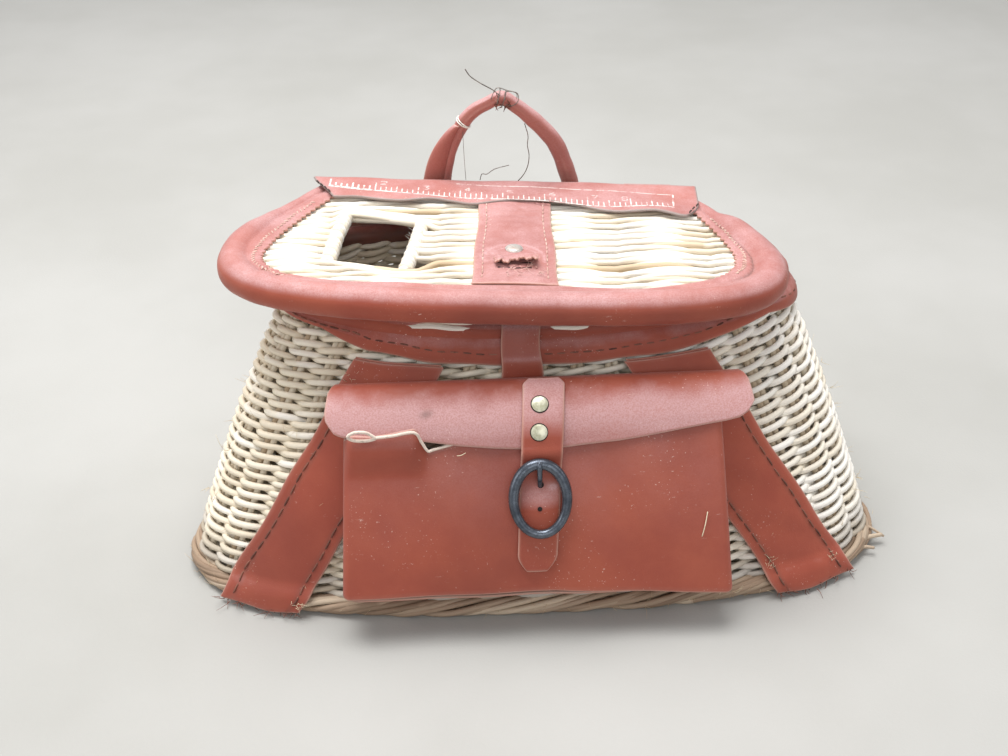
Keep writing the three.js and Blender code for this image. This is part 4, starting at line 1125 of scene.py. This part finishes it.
def build_handle():
    path = handle_line(300)
    cut = int(np.argmax(path[:, 2]))
    left, right = path[:cut + 4].copy(), path[cut - 2:].copy()
    right[:8, 2] -= np.linspace(1.2, 0, 8)
    handle = Piece()
    height = left[:, 2]
    thick = table(height, (118, 5), (160, 3.4), (185, 3.1), (199, 3.9), (206, 4.2), (217, 3.7))
    roll_of_leather(handle, left, thick, math.radians(-60), ragged=-1)
    roll_of_leather(handle, right, table(right[:, 2], (118, 5), (165, 5.1), (200, 4.9), (217, 4.1)),
                    math.radians(-115), ragged=0)
    handle.make("handle_leather", leather, "basket", ["handle"])

    split = Piece()
    outer = spline([(-50, 118), (-56, 150), (-58, 160), (-56.3, 171.5), (-52.8, 183), (-47.7, 192.3),
                    (-41.6, 199.6), (-36.8, 203.5)], 50)
    z = outer[:, 1][:, None]
    low = left[left[:, 2].argsort()]
    inner = np.interp(z, low[:, 2], low[:, 0]) - 1.0
    v = np.linspace(1, 0, 9)[None]
    bow = 2.4 * np.sin(math.pi * v) ** 0.8
    y = HANDLE_Y - 2 - bow
    sheet(split, surface(vec(mix(outer[:, :1], inner, v), y, z)), 50, 9, 1.7, dust=0.22)
    split.make("handle_split_leather", leather, "basket", ["handle_split"])

    tie = Piece()
    at = int(np.argmax(path[:, 2] > 204))
    along = unit(path[at + 1] - path[at - 1])
    side = unit(np.cross(along, (0, 1, 0)))
    up = np.cross(side, along)
    turn = circle(40)
    ring = np.outer(np.cos(turn), side) + np.outer(np.sin(turn), up)
    for k in range(2):
        loop = path[at] + along * (k * 0.6 - 0.3) + 4.45 * ring
        loop = loop + along * (0.7 * np.sin(turn + k))[:, None]
        tube(tie, loop, 0.4, 8, True, along, tone=0.8)
    tie.make("handle_tie_thread", white_thread, "basket", ["handle_tie"])

    wire = Piece()
    share = np.linspace(0, 1, 160)
    k = cut + (share - 0.45) * 12
    middle = between(k, np.arange(300), path)
    a = 2 * math.pi * 2.5 * share
    wraps = middle + np.outer(np.sin(a), (0, 4.7, 0)) + np.outer(np.cos(a), (0.6, 0, 4.7))
    tube(wire, wraps, 0.28, 6)
    for points, radius in (
        (((-29.9, 238), (-27.2, 233.7), (-21.6, 229.4), (-14.3, 224.9), (-10.4, 221.2)), 0.4),
        (((-15.5, 219), (-14.9, 221.3), (-12, 226.1), (-6.9, 224.7), (-1.1, 222.7), (-0.6, 219)), 0.34),
        (((-7.5, 218.5), (-6.9, 223.5), (-0.6, 222.7), (0, 217.8), (-3.5, 215), (-6.9, 216)), 0.34),
        (((3.6, 204), (4.4, 201.1), (5.6, 196), (5.2, 190.4), (6.1, 184), (5.4, 177.6), (3, 171.9),
          (-1.2, 166.9)), 0.36),
        (((-23.2, 169), (-22, 172.8), (-19, 172.7), (-14.2, 175.8), (-5.8, 178)), 0.3),
        (((-32.4, 200), (-32.2, 185.4), (-31.6, 169.3)), 0.2),
    ):
        tube(wire, spline([(x, HANDLE_Y - 5, z) for x, z in points], 60), radius * 0.78, 6)
    wire.make("handle_wire_loops", wire_steel, "basket", ["handle_wire"])

    frays = Piece()
    under = path[cut - 2:cut + 2] - (-0.8, 1, 2.6)
    fuzz(frays, under, (0.1, -0.5, -0.6), 4, 0.42, 40, 1.9, (0.0, 0.5))
    frays.make("handle_frays", brown_thread, "basket")


# Lid, in its own frame and then put in place

BAND_MIDDLE = 4.3
RULER_BACK = 4.7
HINGE_HALF = 103
HOLE = np.array([(-86, -36), (-49, -45.5), (-55.5, -96.5), (-90.5, -87.7)])


def lid_outline(count):
    back_half = LID_HALF_WIDTH * LID_BACK_SHARE
    s = np.linspace(1, 0, 60)[:-1]
    x = mix(LID_HALF_WIDTH, back_half, s ** SIDE_TAPER)
    y = -LID_WIDEST * (1 - s)
    turn = np.linspace(0, math.pi / 2, 160)
    power = 2 / LID_CORNER
    x = np.concatenate([x, LID_HALF_WIDTH * np.abs(np.cos(turn)) ** power])
    y = np.concatenate([y, -mix(LID_WIDEST, LID_DEPTH, np.sin(turn) ** power)])
    x[-1] = 0
    right = np.stack([x, y], axis=-1)
    line = np.vstack([right * (-1, 1), right[-2::-1]])
    return resample(line, count)


LID_LINE = lid_outline(800)
LID_IN = unit(np.stack([-np.gradient(LID_LINE[:, 1]), np.gradient(LID_LINE[:, 0])], axis=-1))


def hole_sides(y):
    a, b, c, d = HOLE
    left = np.interp(-y, (-a[1], -d[1]), (a[0], d[0]))
    right = np.interp(-y, (-b[1], -c[1]), (b[0], c[0]))
    return left, right


def in_hole(x, y):
    a, b, c, d = HOLE
    left, right = hole_sides(y)
    back = np.interp(x, (a[0], b[0]), (a[1], b[1]))
    front = np.interp(x, (d[0], c[0]), (d[1], c[1]))
    return (x > left) & (x < right) & (y < back) & (y > front)


def around_hole(x, row_y, y):
    """Rods near the hole's hinge side and front side bend round it; the rest are cut at its bars."""
    a, b, c, d = HOLE
    beside = np.clip(np.minimum(x - (a[0] - 12), (b[0] + 14) - x) / 12, 0, 1)
    back = np.interp(x, (a[0], b[0]), (a[1], b[1])) + LID_STRAND + 0.4 * (row_y + 50)
    front = np.interp(x, (d[0], c[0]), (d[1], c[1])) - LID_STRAND + 0.4 * (row_y + 86)
    if row_y > -50:
        return np.where(beside > 0, mix(y, np.maximum(y, back), ease(beside, 0, 1)), y)
    if row_y < -86:
        return np.where(beside > 0, mix(y, np.minimum(y, front), ease(beside, 0, 1)), y)
    return y


def runs(keep):
    """Starts and ends of the stretches of True that are long enough for a rod."""
    turns = np.flatnonzero(np.diff(np.concatenate([[0], keep.astype(int), [0]])))
    return [(a, b) for a, b in zip(turns[::2], turns[1::2]) if b - a > 3]


def build_lid_weave():
    weave = Piece()
    inner = LID_LINE + LID_IN * 8
    for row, y in enumerate(np.arange(-125, -6, LID_ROW_PITCH)):
        shift = rng.uniform(-4, 4)
        ends = inner[np.abs(inner[:, 1] - y) < 4, 0]
        left, right = ends.min(), ends.max()
        count = int((right - left) / 3.2)
        x = np.linspace(left, right, count)
        for weaver in (0, 1):
            phase = math.pi * (x - LID_SWAP + shift) / LID_BAY + math.pi * weaver
            lane = np.sign(np.sin(phase)) * np.abs(np.sin(phase)) ** 0.4
            height = 1.4 * np.cos(phase) * np.abs(np.cos(phase)) ** 0.6
            bow = np.abs(np.sin(phase)) * ease(np.minimum(x - left, right - x), 0, 20)
            bow = bow * table(x, (-40, 1.3), (-20, 0.7), (30, 0.7), (45, 1.2), (65, 1.3), (90, 2.2))
            drift = wobble(x / 300, 0.9, (0.7, 1.9, 4.1)) + rng.uniform(-0.25, 0.25)
            path_y = around_hole(x, y, y + LID_ROW_PITCH * 0.25 * lane + drift + 0.5 * bow)
            arch = LID_ARCH * np.cos(x / LID_HALF_WIDTH * 1.2) * 0.5
            path = vec(x, path_y, height + bow + arch + wobble(x / 300, 0.3, (1.3, 3.7)))
            thick = LID_STRAND * (1 + 0.09 * np.sin(phase * 2 + row)) * rng.uniform(0.9, 1.08)
            tone = strand_tones(1, count, 0.55, 1.0, 5)[0] - (0.4 if rng.uniform() < 0.15 else 0)
            for a, b in runs(~in_hole(x, path_y)):
                tube(weave, on_lid(path[a:b]), thick[a:b], 8, toward=LID_UP, tone=tone[a:b])
    for zone in (-85, -35, 15, 65, 115):
        y = np.linspace(LID_LINE[np.abs(LID_LINE[:, 0] - zone) < 4, 1].min() + 8, -6, 50)
        for a, b in runs(~in_hole(np.full(50, zone), y)):
            for beside in (-1.9, 1.9):
                tube(weave, on_lid(vec(zone + beside, y[a:b], -0.6)), 1.6, 7, toward=LID_UP, tone=0.5)
    weave.make("lid_weave", lid_wicker_shaded, "lid", ["lid_panel"])


def build_hole_bars():
    a, b, c, d = HOLE
    frays = Piece()
    for name, start, end, side, radius in (("left", a, d, -1, 2.0), ("right", b, c, 1, 1.75)):
        bar = Piece()
        start, end = start + (side * 3.2, 4), end + (side * 3.2, -3)
        halfway = mix(start, end, 0.5) + (side * 0.8, 0)
        line = resample(np.array([(*start, 1.2), (*halfway, 1.8), (*end, 1.2)]), 60)
        tube(bar, on_lid(line), 2.0, 8, tone=0.6)
        wraps = reach_along(line)[-1] / (radius * 2.0)
        share = np.linspace(0.02, 0.98, int(wraps * 12))
        turn = 2 * math.pi * wraps * share
        middle = between(share, np.linspace(0, 1, 60), line)
        along = unit(np.append(end - start, 0.0))
        across = np.array([along[1], -along[0], 0])
        coil = middle + np.outer(np.cos(turn), across) * 2.5 + np.outer(np.sin(turn), (0, 0, 1)) * 2.3
        tube(bar, on_lid(coil), radius * (1 + 0.1 * np.sin(share * 50)), 8,
             tone=0.75 + 0.2 * np.sin(share * 40), toward=along)
        bar.make(f"hole_bar_{name}_wraps", lid_wicker_shaded, "lid", [f"hole_bar_{name}"])
        at = on_lid(np.array([[*mix(start, end, 0.35), 2.5]]))
        fuzz(frays, at, LID_TURN[:, 0] * -side, 4.5, 0.12, 22, 1.6)
    frays.make("hole_frays", white_thread, "lid")


def band_reach(share):
    """How far in from the roll's middle the lid's leather comes, by the share of the way round."""
    return table(share, (0, 14), (0.023, 14.7), (0.088, 16.5), (0.168, 17.1), (0.196, 14.9), (0.239, 13.3),
                 (0.277, 11), (0.339, 11.2), (0.396, 14.4), (0.43, 13), (0.5, 14.2), (0.555, 14.6), (0.639, 11),
                 (0.708, 15.3), (0.77, 20), (0.823, 19), (0.886, 15.5), (0.952, 11), (1, 10))


def roll_radius(x, y):
    swell = np.where(x < 0, LID_SWELL_LEFT, LID_SWELL_RIGHT)
    return mix(LID_ROLL_END, LID_ROLL_RADIUS, ease(-y, 24, swell))


def crease(share):
    """Where a fold runs between the roll and the flat band, on the lid's right side; painted shade darkens it.
    """
    return ease(share, 0.72, 0.78) * (1 - ease(share, 0.93, 0.97))


def build_lid_binding():
    count = len(LID_LINE)
    share = np.linspace(0, 1, count)
    near = np.minimum(share, 1 - share) * 2
    x, y = LID_LINE.T
    radius = roll_radius(x, y)
    sway = wobble(share, 0.35, (7, 15, 31))
    wide = band_reach(share)
    tooth = np.abs((share * 104) % 1 - 0.5) * 2
    wide = wide + (tooth - 0.5) * 2.2 * (1 - ease(near, 0.45, 0.6))
    pucker = 2.2 * np.exp(-((share - 0.245) / 0.006) ** 2) + 1.8 * np.exp(-((share - 0.268) / 0.006) ** 2)
    pucker = pucker + 0.7 * np.exp(-((share - 0.73) / 0.008) ** 2)
    rows = []

    def row(inward, z):
        rows.append(vec(*(LID_LINE + LID_IN * inward[:, None]).T, z))

    for t in np.linspace(0, 1, 8)[:-1]:
        row(mix(wide, radius * 0.93, t), mix(-BAND_MIDDLE, -radius * 0.62, ease(t, 0.5, 1.1)))
    for degrees in np.arange(-140, 141, 14):
        a = math.radians(degrees)
        size = radius - 0.8 + sway - pucker * 0.6 * ease(degrees, 40, 110)
        row(-size * math.cos(a), size * math.sin(a))
    for t in np.linspace(0, 1, 10)[1:]:
        lift = 0.7 * math.sin(math.pi * t) - pucker * 1.0 * math.sin(math.pi * t)
        lift = lift - 1.5 * crease(share) * math.exp(-((t - 0.15) / 0.14) ** 2)
        row(mix(radius * 0.88, wide, t), mix(radius * 0.55, BAND_MIDDLE - 0.1, ease(t, 0.0, 0.42)) + lift)
    grid = on_lid(np.stack(rows, axis=1))
    binding = Piece()
    # The crease is darkened: painted shade in the fold.
    sheet(binding, surface(grid), 640, 52, 1.6, dust=-0.1,
          dirt=lambda u, v: 0.7 * crease(u) * np.exp(-((v - 0.8) / 0.02) ** 2))
    binding.make("lid_binding", leather, "lid", ["lid_roll", "lid_band", "lid_band_under"])

    seam = Piece()
    for low, high in ((0.045, 0.30), (0.76, 0.93)):
        pick = np.linspace(low, high, 420)
        zig = np.abs((pick * 150) % 1 - 0.5) * 4 - 1
        depth = band_reach(pick) - 4.6 + zig * 1.1
        line = between(pick, share, LID_LINE) + between(pick, share, LID_IN) * depth[:, None]
        stitches(seam, on_lid(vec(*line.T, BAND_MIDDLE + 1.25)), LID_UP, 3.6, 1.0, 0.42)
    seam.make("lid_binding_stitches", pale_thread, "lid")


def worn_arc(u, v):
    """Pale arc rubbed into the strap round its stud."""
    x, y = 6.2 + (2 * v - 1) * 21.5, mix(-5, -115.5, u)
    far = np.hypot(x - 5.7, (y + 88) * 1.1)
    outer = 0.5 * np.exp(-((far - 16) / 0.9) ** 2) * (y > -92)
    return outer + 0.3 * np.exp(-((far - 12.5) / 0.7) ** 2) * (y > -88)


def build_lid_strap():
    u, v = axes(60, 20, (0, 1), (-1, 1))
    half = table(u, (0, 20.2), (0.2, 20.4), (0.75, 21.8), (1, 23))
    x = 6.2 + v * half + 0.5 * np.sin(u * 12) * v
    y = mix(-5, -115.5, u)
    ribs = 0.3 * np.cos(2 * math.pi * y / LID_ROW_PITCH)
    z = BAND_MIDDLE + 0.75 + ribs * (0.6 + 0.4 * np.sin(u * 9)) + 0.6 * (1 - v ** 2)
    strap = Piece()
    at = surface(on_lid(vec(x, y, z)))
    sheet(strap, at, 90, 24, 1.7, grooves=(5.2,), dust=lambda u, v: worn_arc(u, v) - 0.12)
    strap.make("lid_strap_leather", leather, "lid", ["lid_strap"])

    seam = Piece()
    run = np.linspace(0.03, 0.97, 300)
    for w in (-0.78, 0.78):
        line = at(run, np.full(300, (w + 1) / 2)) + LID_UP * THREAD_LIFT
        stitches(seam, line, LID_UP, 3.4, 1.2, 0.36)
    seam.make("lid_strap_stitches", pale_thread, "lid")

    stud = Piece()
    place = on_lid(np.array([5.7, -78.5, BAND_MIDDLE + 1.9]))
    dome(stud, place, LID_UP, 4.7, 1.7)
    stud.make("lid_stud_cap", steel_stud, "lid", ["lid_stud"])

    loop = Piece()
    t, w = axes(50, 16)
    torn = 0.9 * np.sin(t * 27) + 0.6 * np.sin(t * 61 + 1) + 0.9 * np.sin(t * 9)
    x = mix(-5, 18, t) + 0.4 * np.sin(w * 9)
    y = -89.5 - 6.5 * w - (torn + 1.5) * w ** 3
    high = 2.0 + 3.0 * ease(t, 0.1, 0.9) + 1.6 * np.exp(-((t - 0.12) / 0.08) ** 2)
    z = BAND_MIDDLE + 2.2 + high * np.sin(math.pi / 2 * np.minimum(w * 1.35, 1.2))
    sheet(loop, surface(on_lid(vec(x, y, z))[::-1]), 60, 16, 1.6, dust=0.1)
    for _ in range(5):
        cx, cy = rng.uniform(-4, 18), rng.uniform(-102, -98)
        a, s = rng.uniform(0, math.pi), rng.uniform(0.5, 1.1)
        p = np.linspace(-1, 1, 4)[:, None] * s
        q = np.linspace(-1, 1, 4)[None] * s * 0.7
        flake = vec(cx + p * math.cos(a) - q * math.sin(a), cy + p * math.sin(a) + q * math.cos(a),
                    BAND_MIDDLE + 2.6 + 0.4 * p)
        sheet(loop, surface(on_lid(flake)), 4, 4, 0.6)
    loop.make("lid_loop_torn", leather, "lid", ["lid_loop"])
    tufts = Piece()
    spots = on_lid(vec(rng.uniform(0, 20, 40), rng.uniform(-107, -99, 40), BAND_MIDDLE + 2.1))
    fuzz(tufts, spots, LID_TURN @ (0.5, -0.8, 0.25), 6, 0.13, 34, 0.6, (0.6, 1.0))
    tufts.make("lid_loop_fibres", pale_thread, "lid")
    # A dark sheet under the torn loop's open front: painted shade.
    slot_shadow = Piece()
    t, w = axes(14, 6, across=(-2.8, 3.5))
    dark = vec(mix(-3, 15, t), w - 97 + 0.6 * np.sin(9 * t), BAND_MIDDLE + 1.95)
    sheet(slot_shadow, surface(on_lid(dark)), 14, 6, 0.25)
    slot_shadow.make("lid_loop_slot_shadow", hole_shade, "lid")


def ruler_edge(x):
    """Free edge of the ruler strip, a little smoothed."""
    return sum(table(x + d, (-112, -17.5), (-98, -21.5), (-84, -19.5), (-71, -22.5), (-58, -25.5),
                     (-49, -23.5), (-40, -20.5), (-29, -22.5), (-18, -24.5), (-9, -23), (0, -21.5),
                     (26, -21.5), (46, -25.5), (57, -29.5), (67, -32), (77, -31.5), (87, -31),
                     (103, -37), (112, -30)) for d in (-3, 0, 3)) / 3


def ruler_point(x, t, lift=0.0):
    """Place on the ruler strip: x along it, t from its back edge (0) to its free edge (1)."""
    y = mix(RULER_BACK, ruler_edge(x), t)
    z = 6.7 + 1.3 * ease(-y, 12, 30) * np.sin(x / 11) + 0.3 * np.sin(x / 23) + 0.2 * np.sin(x / 7 + y / 5)
    return vec(x, y, z + lift)


def build_ruler():
    strip = Piece()
    u, t = axes(200, 24, (0, 1), (1, 0))
    left = table(t, (0, -112.5), (0.25, -110.5), (1, -98))
    right = table(t, (0, 113.5), (0.7, 112.5), (0.85, 110.5), (1, 103.5))
    sheet(strip, surface(on_lid(ruler_point(mix(left, right, u), t))), 190, 22, dust=-0.16)
    strip.make("ruler_strip_leather", ruler_leather, "lid", ["ruler_strip"])

    marks = Piece()

    def stroke(x0, y0, x1, y1, width, tone, count=8):
        t = np.linspace(0, 1, count)
        x, y = mix(x0, x1, t), mix(y0, y1, t)
        length = math.hypot(x1 - x0, y1 - y0)
        sx, sy = -(y1 - y0) / length * width / 2, (x1 - x0) / length * width / 2
        rows = []
        for sign in (-1, 1):
            px, py = x + sign * sx, y + sign * sy
            share = (RULER_BACK - py) / (RULER_BACK - ruler_edge(px))
            rows.append(on_lid(ruler_point(px, share, 0.93)))
        quads = quad_grid(2, count)[0][:, FLIP]
        marks.add(np.stack(rows), [quads], np.zeros((len(quads) * 4, 2)), tone=tone)

    def base(x):
        return table(x, (-102, -8.2), (-87, -10.6), (-51, -16.2), (0, -20.6), (24, -23.2), (48, -24.9),
                     (97, -27.2))

    def fade(x):
        return table(x, (-102, 1), (-80, 0.95), (-55, 0.7), (-20, 0.6), (60, 0.6), (97, 0.75))

    edges = np.linspace(-102, 97, 60)
    for a, b in zip(edges[:-1], edges[1:]):
        stroke(a, base(a), b, base(b), table(a, (-84, 2.0), (-76, 0.8)), fade(a), 3)
    inches = np.array([-101.6, -74.8, -49.8, -25.4, -0.7, 23.5, 48.2, 73.0, 97.1])
    for k in range(8):
        for step in range(8):
            at = mix(inches[k], inches[k + 1], step / 8)
            tall = 9.5 if step == 0 else 7.2 if step == 4 else 5.2
            width = 0.9 if k == 0 else 0.62
            stroke(at, base(at), at, base(at) + tall, width, fade(at), 4)
    stroke(97.1, -27.2, 98.4, -9.2, 0.9, 0.9)
    top = np.linspace(-28, 98, 40)
    for a, b in zip(top[:-1], top[1:]):
        stroke(a, mix(-1.4, -9.2, (a + 28) / 126), b, mix(-1.4, -9.2, (b + 28) / 126), 0.7, 0.5, 3)
    glyphs = {
        "2": ((0, 1, 0.2, 1.2), (0.2, 1.2, 1, 1.2), (1, 1.2, 1, 0.7), (1, 0.7, 0, 0), (0, 0, 1, 0)),
        "3": ((0, 1.2, 1, 1.2), (1, 1.2, 0.5, 0.7), (0.5, 0.7, 1, 0.4), (1, 0.4, 0.8, 0), (0.8, 0, 0, 0)),
        "4": ((0.7, 0, 0.7, 1.2), (0.7, 1.2, 0, 0.4), (0, 0.4, 1, 0.4)),
        "5": ((1, 1.2, 0, 1.2), (0, 1.2, 0, 0.7), (0, 0.7, 0.9, 0.7), (0.9, 0.7, 1, 0.2), (1, 0.2, 0, 0)),
        "6": ((0.9, 1.2, 0.1, 0.6), (0.1, 0.6, 0, 0.1), (0, 0.1, 0.9, 0), (0.9, 0, 1, 0.5), (1, 0.5, 0.1, 0.6)),
        "7": ((0, 1.2, 1, 1.2), (1, 1.2, 0.3, 0)),
        "8": ((0.1, 0, 0.9, 0), (0.9, 0, 0.9, 1.2), (0.9, 1.2, 0.1, 1.2), (0.1, 1.2, 0.1, 0),
              (0.1, 0.6, 0.9, 0.6)),
    }
    for k, figure in enumerate("2345678"):
        x0, y0 = inches[k + 1] + 2.6 + (0 if k < 6 else -7.5), base(inches[k + 1]) + 7.4
        for ax, ay, bx, by in glyphs[figure]:
            stroke(x0 + ax * 3.4, y0 + ay * 3.6, x0 + bx * 3.4, y0 + by * 3.6, 0.7, 0.3, 3)
    marks.make("ruler_marks", print_ink, "lid")

    peek = Piece()
    t, w = axes(12, 5, (0, 1), (1, 0))
    sheet(peek, surface(on_lid(vec(mix(71, 99, t), mix(8.6, -2, w), 5.0 + 1.3 * w))), 12, 5, 1.3)
    peek.make("ruler_strip_back_patch", leather, "lid")

    rod = Piece()
    half = LID_HALF_WIDTH * LID_BACK_SHARE - LID_ROLL_END - LID_ROLL_RADIUS
    tube(rod, on_lid(vec(np.linspace(-half, half, 20), 0, 0)), 3.9, 14, tone=0.5)
    rod.make("lid_rod_cane", cane, "lid", ["lid_rod"])

    ends = Piece()
    for x0, y0, x1, y1 in ((-110, -3, -99, -19), (112, -22, 104, -36)):
        t = np.linspace(0, 1, 60)
        stitches(ends, on_lid(vec(mix(x0, x1, t), mix(y0, y1, t), 8.4)), LID_UP, 3.0, 1.4, 0.5)
    ends.make("ruler_strip_stitches", black_thread, "lid")


def build_hinge():
    hinge = Piece()
    out = 0.3 + 1
    rim_out = BACK_Y - 2.5 + RIM_RADIUS + out
    columns = []
    for x in np.linspace(-HINGE_HALF, HINGE_HALF, 40):
        end = on_lid(np.array([x, HINGE_BACK + out, 6.6 - 2]))
        profile = ((BACK_Y + 2 * out + 2.7, BAND_FOOT - 2), (rim_out + 1.0, 133.7),
                   (rim_out + 0.8, RIM_MIDDLE), (mix(rim_out, end[1], 0.35), RIM_TOP + 1), end[1:])
        columns.append(spline([(end[0], *place) for place in profile], 24))
    at = surface(np.stack(columns)[::-1])
    sheet(hinge, at, 60, 24, 1.7, grooves=(5,))
    hinge.make("hinge_leather_strip", leather, "basket", ["hinge_leather"])
    seam = Piece()
    run = np.linspace(0.02, 0.98, 400)
    line = at(run, np.full(400, 5 / 42)) + (0, THREAD_LIFT, 0)
    stitches(seam, line, (0, 1.0, 0), 4.2, 2.2, 0.5)
    seam.make("hinge_stitches", brown_thread, "basket")


def build_debris():
    bits = Piece()
    share = rng.uniform(0, 1, 260)
    z = rng.uniform(3, 120, 260)
    spots = on_wall(share, z, 0.5)
    fuzz(bits, spots, wall_normal(share, z), 5, 0.16, 260, 0.4, (0.3, 1.0))
    foot = outline(0, -1, 300)
    spots = vec(*foot.T, rng.uniform(3, 9, 300))
    fuzz(bits, spots, vec(*unit(foot).T, 0.5), 5, 0.16, 110, 0.8, (0.3, 1.0))
    bits.make("loose_fibres", straw, "basket")
    ends = Piece()
    for start, go, thick in (
        ((186, -47, 4.5), (14, 3, 1), 1.9),
        ((188, -37, 9.5), (13, -8, -4.5), 1.15),
        ((184, -53, 4), (9, -1, 0.5), 1.5),
    ):
        start, go = np.array(start), np.array(go)
        path = spline([start - go * 0.7, start, start + go * 0.5 + (0, 0, 0.8), start + go], 14)
        path[:, 2] = np.maximum(path[:, 2], 1.6)
        tube(ends, path, thick * np.linspace(1, 0.6, 14), 7, tone=rng.uniform(0.7, 1.0))
    ends.make("border_broken_ends", cane, "basket")
    straws = Piece()
    for (x0, z0), (x1, z1), radius in (((87, 66.5), (84, 54.5), 0.28), ((-42, 98), (-37.5, 99.2), 0.2)):
        x, z = np.linspace(x0, x1, 12), np.linspace(z0, z1, 12)
        y = pocket_face(z) - 1.7 - 0.8 * np.sin(np.linspace(0, math.pi, 12))
        tube(straws, vec(x, y, z), radius, 6, tone=0.9)
    straws.make("pocket_straws", straw, "basket")
    tufts = Piece()
    for side, u, v in ((-1, 0.05, 0.08), (1, 0.13, 0.87), (1, 0.09, 0.14), (-1, 0.93, 0.9)):
        at = surface(brace_grid(side, 1.2))
        spot = at(np.array([u]), np.array([v]))
        fuzz(tufts, spot, (0.1 * side, -0.7, 0.3), 3.2, 0.15, 22, 1.8, (0.7, 1.0))
    tufts.make("brace_tufts", straw, "basket")


make_camera()
make_stage()
build_wall()
build_floor()
build_border()
build_rim()
build_braces()
build_closure()
build_pocket()
build_fittings()
build_handle()
build_lid_weave()
build_hole_bars()
build_lid_binding()
build_lid_strap()
build_ruler()
build_hinge()
build_debris()
